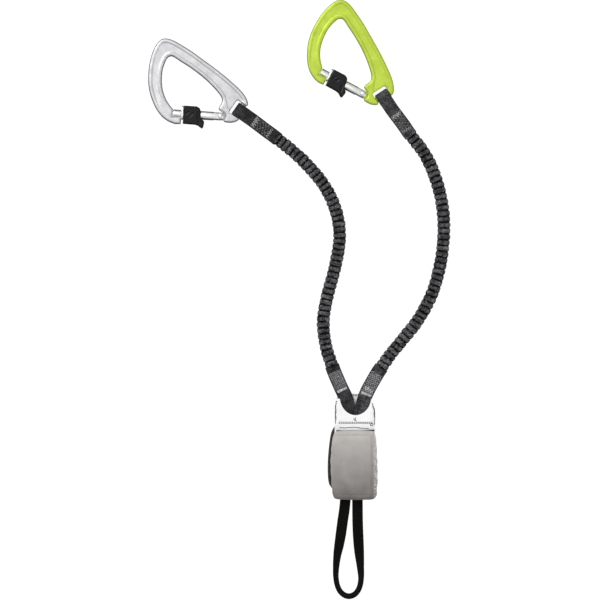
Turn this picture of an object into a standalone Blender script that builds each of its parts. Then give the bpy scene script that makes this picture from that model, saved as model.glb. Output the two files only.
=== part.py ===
"""Via ferrata lanyard: two elastic arms with locking carabiners and a tear-webbing energy absorber.

The lanyard lies flat on its back, as laid out on a table. Metres, +Z up, +Y towards the carabiners.
The origin is the middle of the pouch's underside, and left is -X.
"""

import math

import bmesh
import bpy
from mathutils import Matrix, Vector

# Gaps between pieces
FIT = 0.00035              # running and resting clearance
WELD = 0.000001            # distance under which points are one point
OVERRUN = 0.004            # how far every cutter passes its piece

# Webbing
WEBBING_WIDTH = 0.0152
PLY = 0.0019               # one thickness of webbing
SEWN = 0.0039              # two plies sewn together

# Carabiner: lengths lie along the gate, heights square to it, both from the gate's pivot
GATE_LENGTH = 0.0525       # pivot to the gate's tip
BOW_HEIGHT = 0.0820        # gate's axis to the top of the bow
BODY_THICKNESS = 0.0125
BODY_ROUNDING = 0.0022
RIM_WIDTH = 0.0034
WEB_RECESS = 0.0017        # depth of the hollowed web, each side
WEB_ROUNDING = 0.0006
SHOULDER_LENGTH = 0.0052   # straight stop of the hinge beside the open gate
NOSE_GAP = 0.0004          # between the gate's tip and the nose
TIP_GAP = 0.0006
NOSE_TOP = 0.0049
NOSE_LENGTH = 0.0089        # shelf under the gate's tip, from the tip
HINGE_SEAT_START = -50      # degrees round the pivot
BAR_RADIUS = 0.0032        # slot bar that carries the webbing
BAR_ANGLE = math.radians(59.5)
BAR_PLACE_SHARES = (0.386, 0.097)
BAR_ROOT = 0.0012          # how far the bar runs on into the body
SLOT_FREE = 0.0045         # open part of the slot beside the webbing
SLOT_SIDE = 0.0011         # room beside the webbing, each side
SLOT_ROUNDING = 0.0018
TONGUE_RADIUS = 0.0040
TONGUE_THICKNESS = 0.0034
TONGUE_REACH = 0.0075      # pivot to the tongue's root in the body

# Gate
GATE_RADIUS = 0.00475
GATE_OPENING = math.radians(25)
SHANK_RADIUS = 0.00305     # thin stretch inside the sleeve
SHANK_START = 0.0240       # pivot to the shank's shoulder
TIP_LENGTH = 0.0090
TIP_DROP = 0.0031          # gate's axis to the tip's flat underside
TIP_CHAMFER = 0.0006
TIP_WEB = 0.0048           # thickness of the T-shaped stem in the tip
TIP_WALL = 0.0016
TIP_NOTCH = 0.0009         # gate's axis to the top of the tip's notches
FORK_DEPTH = 0.0080
SPRING_BORE_RADIUS = 0.0022
SPRING_BORE_END = 0.0200
RIVET_RADIUS = 0.0017
RIVET_HEAD_RADIUS = 0.0026
RIVET_HEAD_HEIGHT = 0.0007
RIVET_SEAT = 0.0039        # gate's axis to the spot face under the head
PLUNGER_RADIUS = 0.0013
PLUNGER_HEAD_LENGTH = 0.0016
PLUNGER_SHAFT_LENGTH = 0.0052
GATE_SPRING_WIRE = 0.00025
GATE_SPRING_TURNS = 6

# Locking sleeve and its ring
SLEEVE_LENGTH = 0.0195
SLEEVE_REACH = 0.0102      # half of its height, square to the gate
SLEEVE_THICKNESS = 0.0123
SLEEVE_ROUNDING = 0.0014
RING_FLANGE = 0.0016
RING_TOP = 0.0092
RING_BOTTOM = 0.0060
RING_THICKNESS = 0.0118
RING_ROUNDING = 0.0035
RING_BUSH_LENGTH = 0.0040
SLEEVE_SPRING_WIRE = 0.00040
SLEEVE_SPRING_TURNS = 5

# Arms: elastic webbing sheath with ribs, and a flat core in its bore
SHEATH_HALF_WIDTH = 0.0072
SHEATH_HALF_HEIGHT = 0.0040
VALLEY_SHARE = 0.88        # rib valley against rib crest
RIBS = 44
BORE_HALF_WIDTH = 0.0046
BORE_HALF_HEIGHT = 0.0019
BORE_STEPS = 28
STRAP_STEP = 0.0030        # length of one step of a strap
STRAP_CHAMFER = 0.0006
LOOP_EDGE = 0.0004
LOWER_STRAP_WIDTH = 0.0158
LOOP_TAPER = 0.0130        # bar's axis to where the two plies are one strap
LOOP_TAIL = 0.0150
LOOP_PLAY = 0.0005          # room between the webbing and the slot bar
TUCK = 0.0002              # how far the loop's tail stays inside the strap that it joins

# Absorber pouch
POUCH_WIDTH = 0.0498
POUCH_LENGTH = 0.0747
POUCH_TOP = 0.0260
POUCH_WALL = 0.0012
POUCH_ROUNDING = 0.0072
POUCH_SAG_SHARE = 0.96     # width at the ends against the middle
POUCH_EDGE = 0.0040
PANEL_EDGE = 0.0003
PANEL_THICKNESS = 0.0015
STRAP_LEVEL = 0.0130       # height of the straps inside the tab and pouch
PACK_WIDTH = 0.0300
PACK_LENGTH = 0.0590
PACK_PLY = 0.0018
PACK_PITCH = 0.0022
PACK_PLIES = 7
TAPE_WIDTH = 0.0062
TAPE_LENGTH = 0.0500
TAPE_THICKNESS = 0.0008
TAPE_INSET = 0.0030        # pouch's left edge to the closure

# White tab over the join of the arms
TAB_CENTRE = 0.0010        # the tab lies a little right of the pouch's middle
TAB_HALF_WIDTH = 0.0224
TAB_FLAT_HALF_WIDTH = 0.0190
TAB_HALF_HEIGHT = 0.0034
TAB_CLOTH = 0.0008
TAB_SIDE_LEVEL = 0.0004    # the sides of the front ply, above the straps' middle
TAB_BOTTOM = 0.0335
TAB_FRONT_TOP = 0.0725
TAB_BACK_TOP = 0.0782
SCOOP_PLACE = 0.0006       # right of the tab's middle
SCOOP_HALF_WIDTH = 0.0172
SCOOP_DEPTH = 0.0200
SCOOP_LEVEL = 0.0745
JUNCTION_WIDTH = 0.0270
JUNCTION_THICKNESS = 0.0026

# Tie-in loop
TIE_WIDTH = 0.0117
TIE_THICKNESS = 0.0024
TIE_CHAMFER = 0.0006

# Outlines of the carabiner, clockwise from the nose, in shares of gate length and bow height
OUTER_SHARES = (
    (-0.952, -0.138), (-1.086, -0.110), (-1.229, -0.051), (-1.352, 0.040), (-1.448, 0.150),
    (-1.516, 0.262), (-1.558, 0.384), (-1.568, 0.512), (-1.558, 0.646), (-1.516, 0.787),
    (-1.434, 0.915), (-1.343, 0.983), (-1.229, 1.000), (-1.086, 0.979), (-0.914, 0.927),
    (-0.690, 0.849), (-0.419, 0.739), (-0.175, 0.638), (0.046, 0.540), (0.238, 0.446),
    (0.390, 0.363), (0.495, 0.285), (0.550, 0.213), (0.545, 0.171), (0.389, -0.012),
    (0.347, -0.046), (0.276, -0.067), (0.181, -0.076), (0.076, -0.070))
NOSE_HEIGHT_SHARE = -0.133
INNER_SHARES = (
    (-0.053, 0.122), (-0.004, 0.177), (0.000, 0.238), (-0.065, 0.302), (-0.179, 0.378),
    (-0.335, 0.466), (-0.530, 0.558), (-0.739, 0.643), (-0.937, 0.713), (-1.046, 0.754),
    (-1.120, 0.767), (-1.194, 0.738), (-1.238, 0.671), (-1.274, 0.579), (-1.282, 0.482),
    (-1.270, 0.384), (-1.238, 0.293), (-1.177, 0.201), (-1.101, 0.126))
CABLE_SEAT = (10, 11)      # points of the inner outline that bound the flat seat in the bow
# Stretches of both rims between which the web is hollowed, as shares of their lengths, and the web's
# lower end beside the webbing slot, as shares of the gate's length and of the bow's height
OUTER_WEB_SHARES = (0.09, 0.79)
INNER_WEB_SHARES = (0.06, 0.95)
WEB_END_SHARES = ((0.255, 0.270), (0.107, 0.115))

# Sleeve outline from its nose end: shares of its length and of its reach, thumb lip last
SLEEVE_SHARES = (
    (0.0, 0.93), (0.733, 0.93), (0.908, 0.745), (0.979, 0.392), (1.0, -0.196), (1.026, -0.43),
    (1.164, -0.55), (1.2, -0.784), (1.154, -1.275), (1.082, -1.42), (1.0, -1.333),
    (0.862, -1.137), (0.682, -1.049), (0.0, -1.02))

# Back panel, from its upper left corner, as shares of the pouch's width and length
PANEL_SHARES = (
    (-0.43, 0.56), (-0.475, 0.515), (-0.513, 0.443), (-0.548, 0.29), (-0.576, 0.08),
    (-0.580, -0.11), (-0.555, -0.28), (-0.48, -0.36), (-0.40, -0.44), (0.36, -0.46), (0.45, -0.40),
    (0.455, 0.40), (0.40, 0.53))

# Both plies of the tab, as shares of its half width and of its length up from its bottom edge
TAB_SHARES = (
    (-1.0, 0.0), (1.0, 0.0), (1.0, 0.526), (0.955, 0.653), (0.888, 0.761), (0.812, 0.850),
    (0.72, 1.0), (-0.86, 1.0), (-0.915, 0.895), (-0.965, 0.790), (-1.0, 0.680))

# Routes of the two arms in metres, from the slot bar to the end inside the tab
ARM_ROUTES = {
    "left": (
        (-0.1262, 0.3889, 0.00625), (-0.1147, 0.3809, 0.00625), (-0.0980, 0.3684, 0.0058),
        (-0.0850, 0.3589, 0.0050), (-0.0693, 0.3463, 0.0043), (-0.0537, 0.3320, 0.0042),
        (-0.0328, 0.3070, 0.0042), (-0.0201, 0.2799, 0.0042), (-0.0157, 0.2520, 0.0042),
        (-0.0207, 0.2180, 0.0042), (-0.0291, 0.1860, 0.0042), (-0.0338, 0.1580, 0.0043),
        (-0.0314, 0.1330, 0.0052), (-0.0240, 0.1078, 0.0088), (-0.0144, 0.0848, 0.0124),
        (-0.0083, 0.0717, 0.0130), (-0.0066, 0.0590, 0.0130), (-0.0066, 0.0460, 0.0130)),
    "right": (
        (0.03199, 0.40511, 0.00625), (0.0398, 0.3934, 0.00625), (0.0541, 0.3740, 0.0056),
        (0.0641, 0.3593, 0.0049), (0.0761, 0.3444, 0.0043), (0.0858, 0.3256, 0.0042),
        (0.0942, 0.3000, 0.0042), (0.0985, 0.2730, 0.0042), (0.0984, 0.2460, 0.0042),
        (0.0940, 0.2159, 0.0042), (0.0854, 0.1869, 0.0042), (0.0700, 0.1584, 0.0043),
        (0.0515, 0.1350, 0.0052), (0.0336, 0.1125, 0.0082), (0.0203, 0.0912, 0.0118),
        (0.0123, 0.0753, 0.0130), (0.0097, 0.0620, 0.0130), (0.0096, 0.0460, 0.0130)),
}
# How far the slot bar's middle lies to the right of the webbing's, looking down the arm
SLOT_BAR_SHIFTS = {"left": -0.00061, "right": 0.00047}
CARABINER_TURN = {"left": math.radians(-3.5), "right": math.radians(-27.5)}
UPPER_STRAP_LENGTH = 0.0530     # along the route, from the bar's axis
LOWER_STRAP_LENGTH = 0.0665     # along the route, up to its end in the tab
ROUTE_STEPS = 12

# Route of the tie-in loop in metres, with its twist in degrees: flat at the pouch, on edge in the bend
TIE_ROUTE = (
    (-0.0094, -0.0301, 0.0130, 0), (-0.0096, -0.0380, 0.0130, 0), (-0.0105, -0.0480, 0.0128, 0),
    (-0.0124, -0.0610, 0.0120, 0), (-0.0143, -0.0750, 0.0104, 8), (-0.0163, -0.0880, 0.0088, 26),
    (-0.0184, -0.1000, 0.0076, 46), (-0.0197, -0.1130, 0.0068, 60), (-0.0198, -0.1250, 0.0064, 67),
    (-0.0173, -0.1357, 0.0062, 68), (-0.0125, -0.1423, 0.0062, 68), (-0.0058, -0.1449, 0.0062, 68),
    (0.0010, -0.1425, 0.0062, 68), (0.0056, -0.1361, 0.0062, 68), (0.0077, -0.1260, 0.0064, 66),
    (0.0070, -0.1120, 0.0070, 52), (0.0059, -0.0990, 0.0080, 32), (0.0050, -0.0860, 0.0094, 12),
    (0.0043, -0.0730, 0.0108, 0), (0.0039, -0.0600, 0.0121, 0), (0.0038, -0.0480, 0.0128, 0),
    (0.0037, -0.0380, 0.0130, 0), (0.0036, -0.0301, 0.0130, 0))
TIE_STEPS = 2

for old_object in list(bpy.data.objects):
    bpy.data.objects.remove(old_object)
PARTS = bpy.data.collections.new("via_ferrata_lanyard")
bpy.context.scene.collection.children.link(PARTS)
CUTTERS = bpy.data.collections.new("cutters")
bpy.context.scene.collection.children.link(CUTTERS)


# Shapes

def working_object(data):
    """An object that is only needed while a shape is made."""
    made = bpy.data.objects.new("working", data)
    made.hide_render = True
    made.display_type = "WIRE"
    CUTTERS.objects.link(made)
    return made


def mesh_from(made):
    """The welded mesh of a working object as it is evaluated. The object goes."""
    graph = bpy.context.evaluated_depsgraph_get()
    mesh = bpy.data.meshes.new_from_object(made.evaluated_get(graph), depsgraph=graph)
    bpy.data.objects.remove(made)
    shape = bmesh.new()
    shape.from_mesh(mesh)
    bmesh.ops.remove_doubles(shape, verts=shape.verts, dist=WELD)
    bmesh.ops.recalc_face_normals(shape, faces=shape.faces)
    shape.to_mesh(mesh)
    shape.free()
    return mesh


def combined(operation, mesh, *tool_meshes):
    """The mesh after one Boolean operation with each of the other meshes."""
    target = working_object(mesh)
    tools = []
    for tool_mesh in tool_meshes:
        tool = working_object(tool_mesh)
        step = target.modifiers.new(operation.lower(), "BOOLEAN")
        step.operation = operation
        step.solver = "EXACT"
        step.object = tool
        tools.append(tool)
    result = mesh_from(target)
    for tool in tools:
        bpy.data.objects.remove(tool)
    return result


def moved(mesh, matrix):
    """The mesh after a move."""
    mesh.transform(matrix)
    return mesh


def box(low, high):
    """A box between two corners."""
    mesh = bpy.data.meshes.new("box")
    shape = bmesh.new()
    size = Vector(high) - Vector(low)
    middle = (Vector(high) + Vector(low)) / 2
    bmesh.ops.create_cube(shape, size=1)
    bmesh.ops.scale(shape, vec=size, verts=shape.verts)
    bmesh.ops.translate(shape, vec=middle, verts=shape.verts)
    shape.to_mesh(mesh)
    shape.free()
    return mesh


def bar(radius, start, end, sides):
    """A round bar between two points."""
    mesh = bpy.data.meshes.new("bar")
    shape = bmesh.new()
    along = Vector(end) - Vector(start)
    turn = along.to_track_quat("Z", "Y").to_matrix().to_4x4()
    place = Matrix.Translation((Vector(start) + Vector(end)) / 2) @ turn
    bmesh.ops.create_cone(shape, cap_ends=True, segments=sides, radius1=radius, radius2=radius,
                          depth=along.length, matrix=place)
    shape.to_mesh(mesh)
    shape.free()
    return mesh


def turned(profile, sides):
    """A turned shape about the X axis, from pairs of distance along X and radius."""
    line = bpy.data.meshes.new("profile")
    edges = [(number, number + 1) for number in range(len(profile) - 1)]
    line.from_pydata([(radius, 0, along) for along, radius in profile], edges, [])
    made = working_object(line)
    spin = made.modifiers.new("spin", "SCREW")
    spin.axis = "Z"
    spin.steps = sides
    spin.render_steps = sides
    spin.use_merge_vertices = True
    spin.merge_threshold = WELD
    return moved(mesh_from(made), Matrix.Rotation(math.pi / 2, 4, "Y"))


def plate(outline, thickness, rounding, holes=(), rounds=1):
    """A flat outline as a solid about z = 0, its rims rounded inside the outline."""
    curve = bpy.data.curves.new("outline", "CURVE")
    curve.dimensions = "2D"
    curve.fill_mode = "BOTH"
    curve.extrude = thickness / 2 - rounding
    curve.bevel_depth = rounding
    curve.bevel_resolution = rounds
    curve.offset = -rounding
    for loop in (outline, *holes):
        spline = curve.splines.new("POLY")
        spline.points.add(len(loop) - 1)
        spline.use_cyclic_u = True
        for point, place in zip(spline.points, loop):
            point.co = (place[0], place[1], 0, 1)
    return mesh_from(working_object(curve))


def swept(route, section, radii=None, twists=None):
    """A strip or tube: the section carried along the route with its upper side kept up."""
    rim = bpy.data.curves.new("section", "CURVE")
    rim.dimensions = "2D"
    edge = rim.splines.new("POLY")
    edge.points.add(len(section) - 1)
    edge.use_cyclic_u = True
    for point, place in zip(edge.points, section):
        point.co = (place[0], place[1], 0, 1)
    rim_object = working_object(rim)
    curve = bpy.data.curves.new("route", "CURVE")
    curve.dimensions = "3D"
    curve.twist_mode = "Z_UP"
    curve.bevel_mode = "OBJECT"
    curve.bevel_object = rim_object
    curve.use_fill_caps = True
    spline = curve.splines.new("POLY")
    spline.points.add(len(route) - 1)
    for number, (point, place) in enumerate(zip(spline.points, route)):
        point.co = (*place, 1)
        point.radius = radii[number] if radii else 1
        point.tilt = twists[number] if twists else 0
    mesh = mesh_from(working_object(curve))
    bpy.data.objects.remove(rim_object)
    return mesh


def coil(start, end, radius, wire, turns, points_per_turn):
    """A compression spring about the X axis: one unbroken wire."""
    curve = bpy.data.curves.new("coil", "CURVE")
    curve.dimensions = "3D"
    curve.bevel_depth = wire
    curve.bevel_resolution = 0
    curve.use_fill_caps = True
    count = turns * points_per_turn
    spline = curve.splines.new("POLY")
    spline.points.add(count)
    for number, point in enumerate(spline.points):
        angle = 2 * math.pi * number / points_per_turn
        along = start + wire + (end - start - 2 * wire) * number / count
        point.co = (along, radius * math.cos(angle), radius * math.sin(angle), 1)
    turn = [(a.co - b.co).to_3d().length for a, b in zip(spline.points, spline.points[points_per_turn:])]
    print("least gap between turns in mm", round((min(turn) - 2 * wire) * 1000, 2))
    return mesh_from(working_object(curve))


def arc(centre, radius, first, last, steps):
    """Points of an arc from one angle to another, in degrees."""
    angles = [math.radians(first + (last - first) * step / steps) for step in range(steps + 1)]
    return [(centre[0] + radius * math.cos(angle), centre[1] + radius * math.sin(angle))
            for angle in angles]


def smooth_path(points, steps, corners=(), lead=None):
    """Points on a smooth curve through the given ones, which turns sharply at the corners.

    The curve leaves its first point along the lead where there is one.
    """
    places = [Vector(point) for point in points]
    last = len(places) - 1
    headings = []
    for number, place in enumerate(places):
        sharp = number in corners or number in (0, last)
        headings.append(None if sharp else (places[number + 1] - places[number - 1]).normalized())
    headings[0] = lead
    path = []
    for number in range(last):
        start, end = places[number], places[number + 1]
        chord = end - start
        leave = headings[number] or chord.normalized()
        arrive = headings[number + 1] or chord.normalized()
        reach = chord.length / 3
        straight = headings[number] is None and headings[number + 1] is None
        for step in range(1 if straight else steps):
            t = step / (1 if straight else steps)
            a, b = start + leave * reach, end - arrive * reach
            path.append(start * (1 - t) ** 3 + a * 3 * t * (1 - t) ** 2
                        + b * 3 * t * t * (1 - t) + end * t ** 3)
    path.append(places[last])
    return path


def length_of(path):
    """The length of a path."""
    return sum((b - a).length for a, b in zip(path, path[1:]))


def stretch(path, start, end, count):
    """Evenly spaced points of the path between two distances along it. Both may pass its ends."""
    marks = [0.0]
    for a, b in zip(path, path[1:]):
        marks.append(marks[-1] + (b - a).length)
    points = []
    for step in range(count + 1):
        mark = start + (end - start) * step / count
        part = 0
        while part < len(path) - 2 and marks[part + 1] < mark:
            part += 1
        share = (mark - marks[part]) / (marks[part + 1] - marks[part])
        points.append(path[part].lerp(path[part + 1], share) if 0 <= share <= 1
                      else path[part] + (path[part + 1] - path[part]) * share)
    return points


def beside(path, distance):
    """The flat path moved sideways, to the right of its heading."""
    result = []
    for number, place in enumerate(path):
        before = path[max(number - 1, 0)]
        after = path[min(number + 1, len(path) - 1)]
        heading = (Vector(after) - Vector(before)).normalized()
        result.append((place[0] + heading[1] * distance, place[1] - heading[0] * distance))
    return result


def cut_corners(half_width, half_height, corner):
    """A rectangle with its corners cut, about the origin."""
    w, h = half_width, half_height
    return [(w, h - corner), (w - corner, h), (corner - w, h), (-w, h - corner),
            (-w, corner - h), (corner - w, -h), (w - corner, -h), (w, corner - h)]


def oval(half_width, half_height, sides):
    """An oval about the origin."""
    return [(half_width * math.cos(2 * math.pi * side / sides),
             half_height * math.sin(2 * math.pi * side / sides)) for side in range(sides)]


# Materials

def material(name, colour, roughness, metallic=0.0):
    """A plain finish for a piece."""
    made = bpy.data.materials.new(name)
    made.use_nodes = True
    shader = made.node_tree.nodes["Principled BSDF"]
    shader.inputs["Base Color"].default_value = (*colour, 1)
    shader.inputs["Roughness"].default_value = roughness
    shader.inputs["Metallic"].default_value = metallic
    return made


SILVER = material("silver_anodised_aluminium", (0.62, 0.63, 0.64), 0.45, 0.6)
LIME = material("lime_anodised_aluminium", (0.45, 0.62, 0.07), 0.42, 0.3)
STEEL = material("bright_steel", (0.70, 0.70, 0.71), 0.22, 1.0)
BLACK_PLASTIC = material("black_nylon", (0.02, 0.02, 0.022), 0.4)
BLACK_WEBBING = material("black_webbing", (0.025, 0.025, 0.027), 0.85)
RUBBER = material("rubber", (0.05, 0.045, 0.04), 0.8)
GREY_FABRIC = material("grey_fabric", (0.36, 0.34, 0.32), 0.8)
WHITE_FABRIC = material("white_fabric", (0.85, 0.85, 0.84), 0.8)


def piece(name, mesh, finish, place=None, origin=None):
    """One piece of the lanyard: either placed by a matrix, or made in place with its origin moved."""
    made = bpy.data.objects.new(name, mesh)
    if origin:
        mesh.transform(Matrix.Translation(-Vector(origin)))
        place = Matrix.Translation(Vector(origin))
    mesh.shade_smooth()
    mesh.set_sharp_from_angle(angle=math.radians(35))
    if not mesh.materials:
        mesh.materials.append(None)
    made.material_slots[0].link = "OBJECT"
    made.material_slots[0].material = finish
    made.matrix_basis = place or Matrix()
    PARTS.objects.link(made)
    return made


# Carabiner

BAR_PLACE = Vector((BAR_PLACE_SHARES[0] * GATE_LENGTH, BAR_PLACE_SHARES[1] * BOW_HEIGHT, 0))
BAR_ALONG = Vector((math.cos(BAR_ANGLE), math.sin(BAR_ANGLE), 0))
SLOT_HALF = WEBBING_WIDTH / 2 + SLOT_SIDE
LOOP_INNER_RADIUS = BAR_RADIUS + LOOP_PLAY
LOOP_OUTER_RADIUS = LOOP_INNER_RADIUS + PLY
SLOT_DEPTH = LOOP_OUTER_RADIUS + SLOT_FREE     # bar's axis to the slot's inner edge
HINGE_SEAT_RADIUS = GATE_RADIUS + FIT


def sized(shares):
    """Outline points in metres from shares of gate length and bow height."""
    return [Vector((x * GATE_LENGTH, y * BOW_HEIGHT)) for x, y in shares]


OUTER_RIM = smooth_path(sized(OUTER_SHARES), steps=2)
INNER_RIM = smooth_path(sized(INNER_SHARES), steps=2, corners=CABLE_SEAT)


def carabiner_outline():
    """Nose, outer rim, hinge seat, stop of the open gate, inner rim and the shelf under the tip."""
    seat_end = 90 - math.degrees(GATE_OPENING)
    seat = arc((0, 0), HINGE_SEAT_RADIUS, HINGE_SEAT_START, seat_end, steps=9)
    stop = (seat[-1][0] - SHOULDER_LENGTH * math.cos(GATE_OPENING),
            seat[-1][1] + SHOULDER_LENGTH * math.sin(GATE_OPENING))
    radius = GATE_LENGTH + TIP_GAP
    shelf = -TIP_DROP - NOSE_GAP
    top_angle = 180 - math.degrees(math.asin(NOSE_TOP / radius))
    shelf_angle = 180 - math.degrees(math.asin(shelf / radius))
    nose = arc((0, 0), radius, top_angle, shelf_angle, steps=3)
    end = NOSE_LENGTH - GATE_LENGTH
    corners = [(end, shelf), (end, NOSE_HEIGHT_SHARE * BOW_HEIGHT)]
    return [*OUTER_RIM, *seat, stop, *INNER_RIM, *nose, *corners]


def web_outline():
    """The hollowed web between the two rims, from the nose round the bow to the webbing slot."""
    sides = []
    for rim, shares in ((OUTER_RIM, OUTER_WEB_SHARES), (INNER_RIM, INNER_WEB_SHARES)):
        length = length_of(rim)
        part = stretch(rim, shares[0] * length, shares[1] * length, count=30)
        sides.append(beside(part, RIM_WIDTH))
    return [*sides[0], *sized(WEB_END_SHARES), *sides[1]]


def rounded_rectangle(low, high, radius, steps=4):
    """A rectangle with rounded corners."""
    outline = []
    for number, (x, y) in enumerate(((high[0], high[1]), (low[0], high[1]),
                                     (low[0], low[1]), (high[0], low[1]))):
        centre = (x - math.copysign(radius, x - (low[0] + high[0]) / 2),
                  y - math.copysign(radius, y - (low[1] + high[1]) / 2))
        outline += arc(centre, radius, 90 * number, 90 * number + 90, steps)
    return outline


def carabiner_body():
    """Forged body with hollowed web, webbing slot, slot bar and the gate's tongue."""
    body = plate(carabiner_outline(), BODY_THICKNESS, BODY_ROUNDING)
    cutters = []
    for side in (-1, 1):
        web = plate(web_outline(), 2 * WEB_RECESS, WEB_ROUNDING, rounds=0)
        cutters.append(moved(web, Matrix.Translation((0, 0, side * BODY_THICKNESS / 2))))
    slot_place = Matrix.Translation(BAR_PLACE) @ Matrix.Rotation(BAR_ANGLE, 4, "Z")
    slot = rounded_rectangle((-SLOT_HALF, -OVERRUN - BODY_THICKNESS), (SLOT_HALF, SLOT_DEPTH),
                             SLOT_ROUNDING)
    cutters.append(moved(plate(slot, BODY_THICKNESS + OVERRUN, 0), slot_place))
    body = combined("DIFFERENCE", body, *cutters)
    reach = BAR_ALONG * (SLOT_HALF + BAR_ROOT)
    slot_bar = bar(BAR_RADIUS, BAR_PLACE - reach, BAR_PLACE + reach, sides=24)
    tongue = arc((0, 0), TONGUE_RADIUS, 90, 270, steps=10)
    tongue += [(TONGUE_REACH, -TONGUE_RADIUS), (TONGUE_REACH, TONGUE_RADIUS)]
    tongue_plate = plate(tongue, TONGUE_THICKNESS, 0)
    body = combined("UNION", body, slot_bar, tongue_plate)
    end = (0, 0, BODY_THICKNESS)
    return combined("DIFFERENCE", body, bar(RIVET_RADIUS + FIT, -Vector(end), end, sides=20))


# Gate and its small parts, all with the gate's pivot as origin and the tip at -X

def gate_bar():
    """Turned gate: forked at the pivot, thin under the sleeve, with a flat-based tip."""
    shank_end = -GATE_LENGTH + TIP_LENGTH
    profile = [(x, y) for x, y in arc((0, 0), GATE_RADIUS, 0, 90, steps=4)]
    profile[0] = (GATE_RADIUS, 0)
    profile[-1] = (0, GATE_RADIUS)
    profile += [(-SHANK_START + TIP_CHAMFER, GATE_RADIUS), (-SHANK_START, GATE_RADIUS - TIP_CHAMFER),
                (-SHANK_START, SHANK_RADIUS), (shank_end, SHANK_RADIUS),
                (shank_end, GATE_RADIUS - TIP_CHAMFER), (shank_end - TIP_CHAMFER, GATE_RADIUS),
                (-GATE_LENGTH + TIP_CHAMFER, GATE_RADIUS), (-GATE_LENGTH, GATE_RADIUS - TIP_CHAMFER),
                (-GATE_LENGTH, 0)]
    gate = turned(profile, sides=20)
    half = TONGUE_THICKNESS / 2 + FIT
    fork = box((-FORK_DEPTH, -GATE_RADIUS - OVERRUN, -half),
               (GATE_RADIUS + OVERRUN, GATE_RADIUS + OVERRUN, half))
    bore = bar(SPRING_BORE_RADIUS, (-SPRING_BORE_END, 0, 0), (-TONGUE_RADIUS, 0, 0), sides=16)
    rivet_hole = bar(RIVET_RADIUS + FIT, (0, 0, -BODY_THICKNESS), (0, 0, BODY_THICKNESS), sides=20)
    underside = box((-GATE_LENGTH - OVERRUN, -GATE_RADIUS - OVERRUN, -BODY_THICKNESS),
                    (shank_end + FIT, -TIP_DROP, BODY_THICKNESS))
    cutters = [fork, bore, rivet_hole, underside]
    for side in (-1, 1):
        cutters.append(bar(RIVET_HEAD_RADIUS + FIT, (0, 0, side * RIVET_SEAT),
                           (0, 0, side * BODY_THICKNESS), sides=24))
        notch = sorted((side * TIP_WEB / 2, side * BODY_THICKNESS))
        cutters.append(box((-GATE_LENGTH + TIP_WALL, -TIP_DROP - OVERRUN, notch[0]),
                           (shank_end - TIP_WALL, -TIP_NOTCH, notch[1])))
    return combined("DIFFERENCE", gate, *cutters)


def gate_rivet():
    """Rivet through the fork and the body's tongue, headed at both ends."""
    seat = RIVET_SEAT + FIT
    top = seat + RIVET_HEAD_HEIGHT
    rim = RIVET_HEAD_RADIUS
    edge = RIVET_HEAD_HEIGHT / 2
    half = [(top, 0), (top, rim - edge), (top - edge, rim), (seat, rim), (seat, RIVET_RADIUS)]
    profile = half + [(-x, y) for x, y in reversed(half)]
    return moved(turned(profile, sides=16), Matrix.Rotation(math.pi / 2, 4, "Y"))


def gate_plunger():
    """Pusher that the gate spring presses against the tongue."""
    head = SPRING_BORE_RADIUS - FIT
    start = -TONGUE_RADIUS - FIT
    neck = start - PLUNGER_SHAFT_LENGTH
    shoulder = neck - PLUNGER_HEAD_LENGTH
    tail = shoulder - PLUNGER_SHAFT_LENGTH
    tail_radius = SPRING_BORE_RADIUS - 2 * FIT - 2 * GATE_SPRING_WIRE
    profile = [(start, 0), (start, PLUNGER_RADIUS), (neck, PLUNGER_RADIUS), (neck, head),
               (shoulder, head), (shoulder, tail_radius), (tail, tail_radius), (tail, 0)]
    return turned(profile, sides=12)


def gate_spring():
    """Coil that closes the gate, in the gate's bore."""
    front = -TONGUE_RADIUS - PLUNGER_SHAFT_LENGTH - PLUNGER_HEAD_LENGTH - 2 * FIT
    radius = SPRING_BORE_RADIUS - FIT / 2 - GATE_SPRING_WIRE
    return coil(-SPRING_BORE_END + FIT, front, radius, GATE_SPRING_WIRE, GATE_SPRING_TURNS, 8)


def locking_sleeve():
    """Moulded thumb sleeve with a lip, bored to slide on the gate."""
    start = -GATE_LENGTH + TIP_LENGTH + RING_FLANGE + 2 * FIT
    outline = [(start + x * SLEEVE_LENGTH, y * SLEEVE_REACH) for x, y in SLEEVE_SHARES]
    sleeve = plate(outline, SLEEVE_THICKNESS, SLEEVE_ROUNDING)
    bore = bar(GATE_RADIUS + FIT, (-GATE_LENGTH, 0, 0), (0, 0, 0), sides=28)
    return combined("DIFFERENCE", sleeve, bore)


def lock_ring():
    """Aluminium ring at the sleeve's nose end, with a bush that holds the sleeve's spring."""
    start = -GATE_LENGTH + TIP_LENGTH + FIT
    outline = rounded_rectangle((-RING_THICKNESS / 2, -RING_BOTTOM), (RING_THICKNESS / 2, RING_TOP),
                                RING_ROUNDING)
    flange = plate(outline, RING_FLANGE, 0)
    flange.transform(Matrix.Rotation(math.pi / 2, 4, "Y"))
    flange.transform(Matrix.Translation((start + RING_FLANGE / 2, 0, 0)))
    bush_end = start + RING_FLANGE + RING_BUSH_LENGTH
    bush = bar(GATE_RADIUS, (start + RING_FLANGE / 2, 0, 0), (bush_end, 0, 0), sides=28)
    ring = combined("UNION", flange, bush)
    hole = bar(SHANK_RADIUS + FIT, (-GATE_LENGTH, 0, 0), (0, 0, 0), sides=24)
    return combined("DIFFERENCE", ring, hole)


def sleeve_spring():
    """Coil that holds the sleeve towards the nose, round the gate's shank."""
    front = -GATE_LENGTH + TIP_LENGTH + RING_FLANGE + RING_BUSH_LENGTH + 2 * FIT
    radius = (SHANK_RADIUS + GATE_RADIUS + FIT) / 2
    return coil(front, -SHANK_START - FIT, radius, SLEEVE_SPRING_WIRE, SLEEVE_SPRING_TURNS, 10)


# Arms

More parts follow.
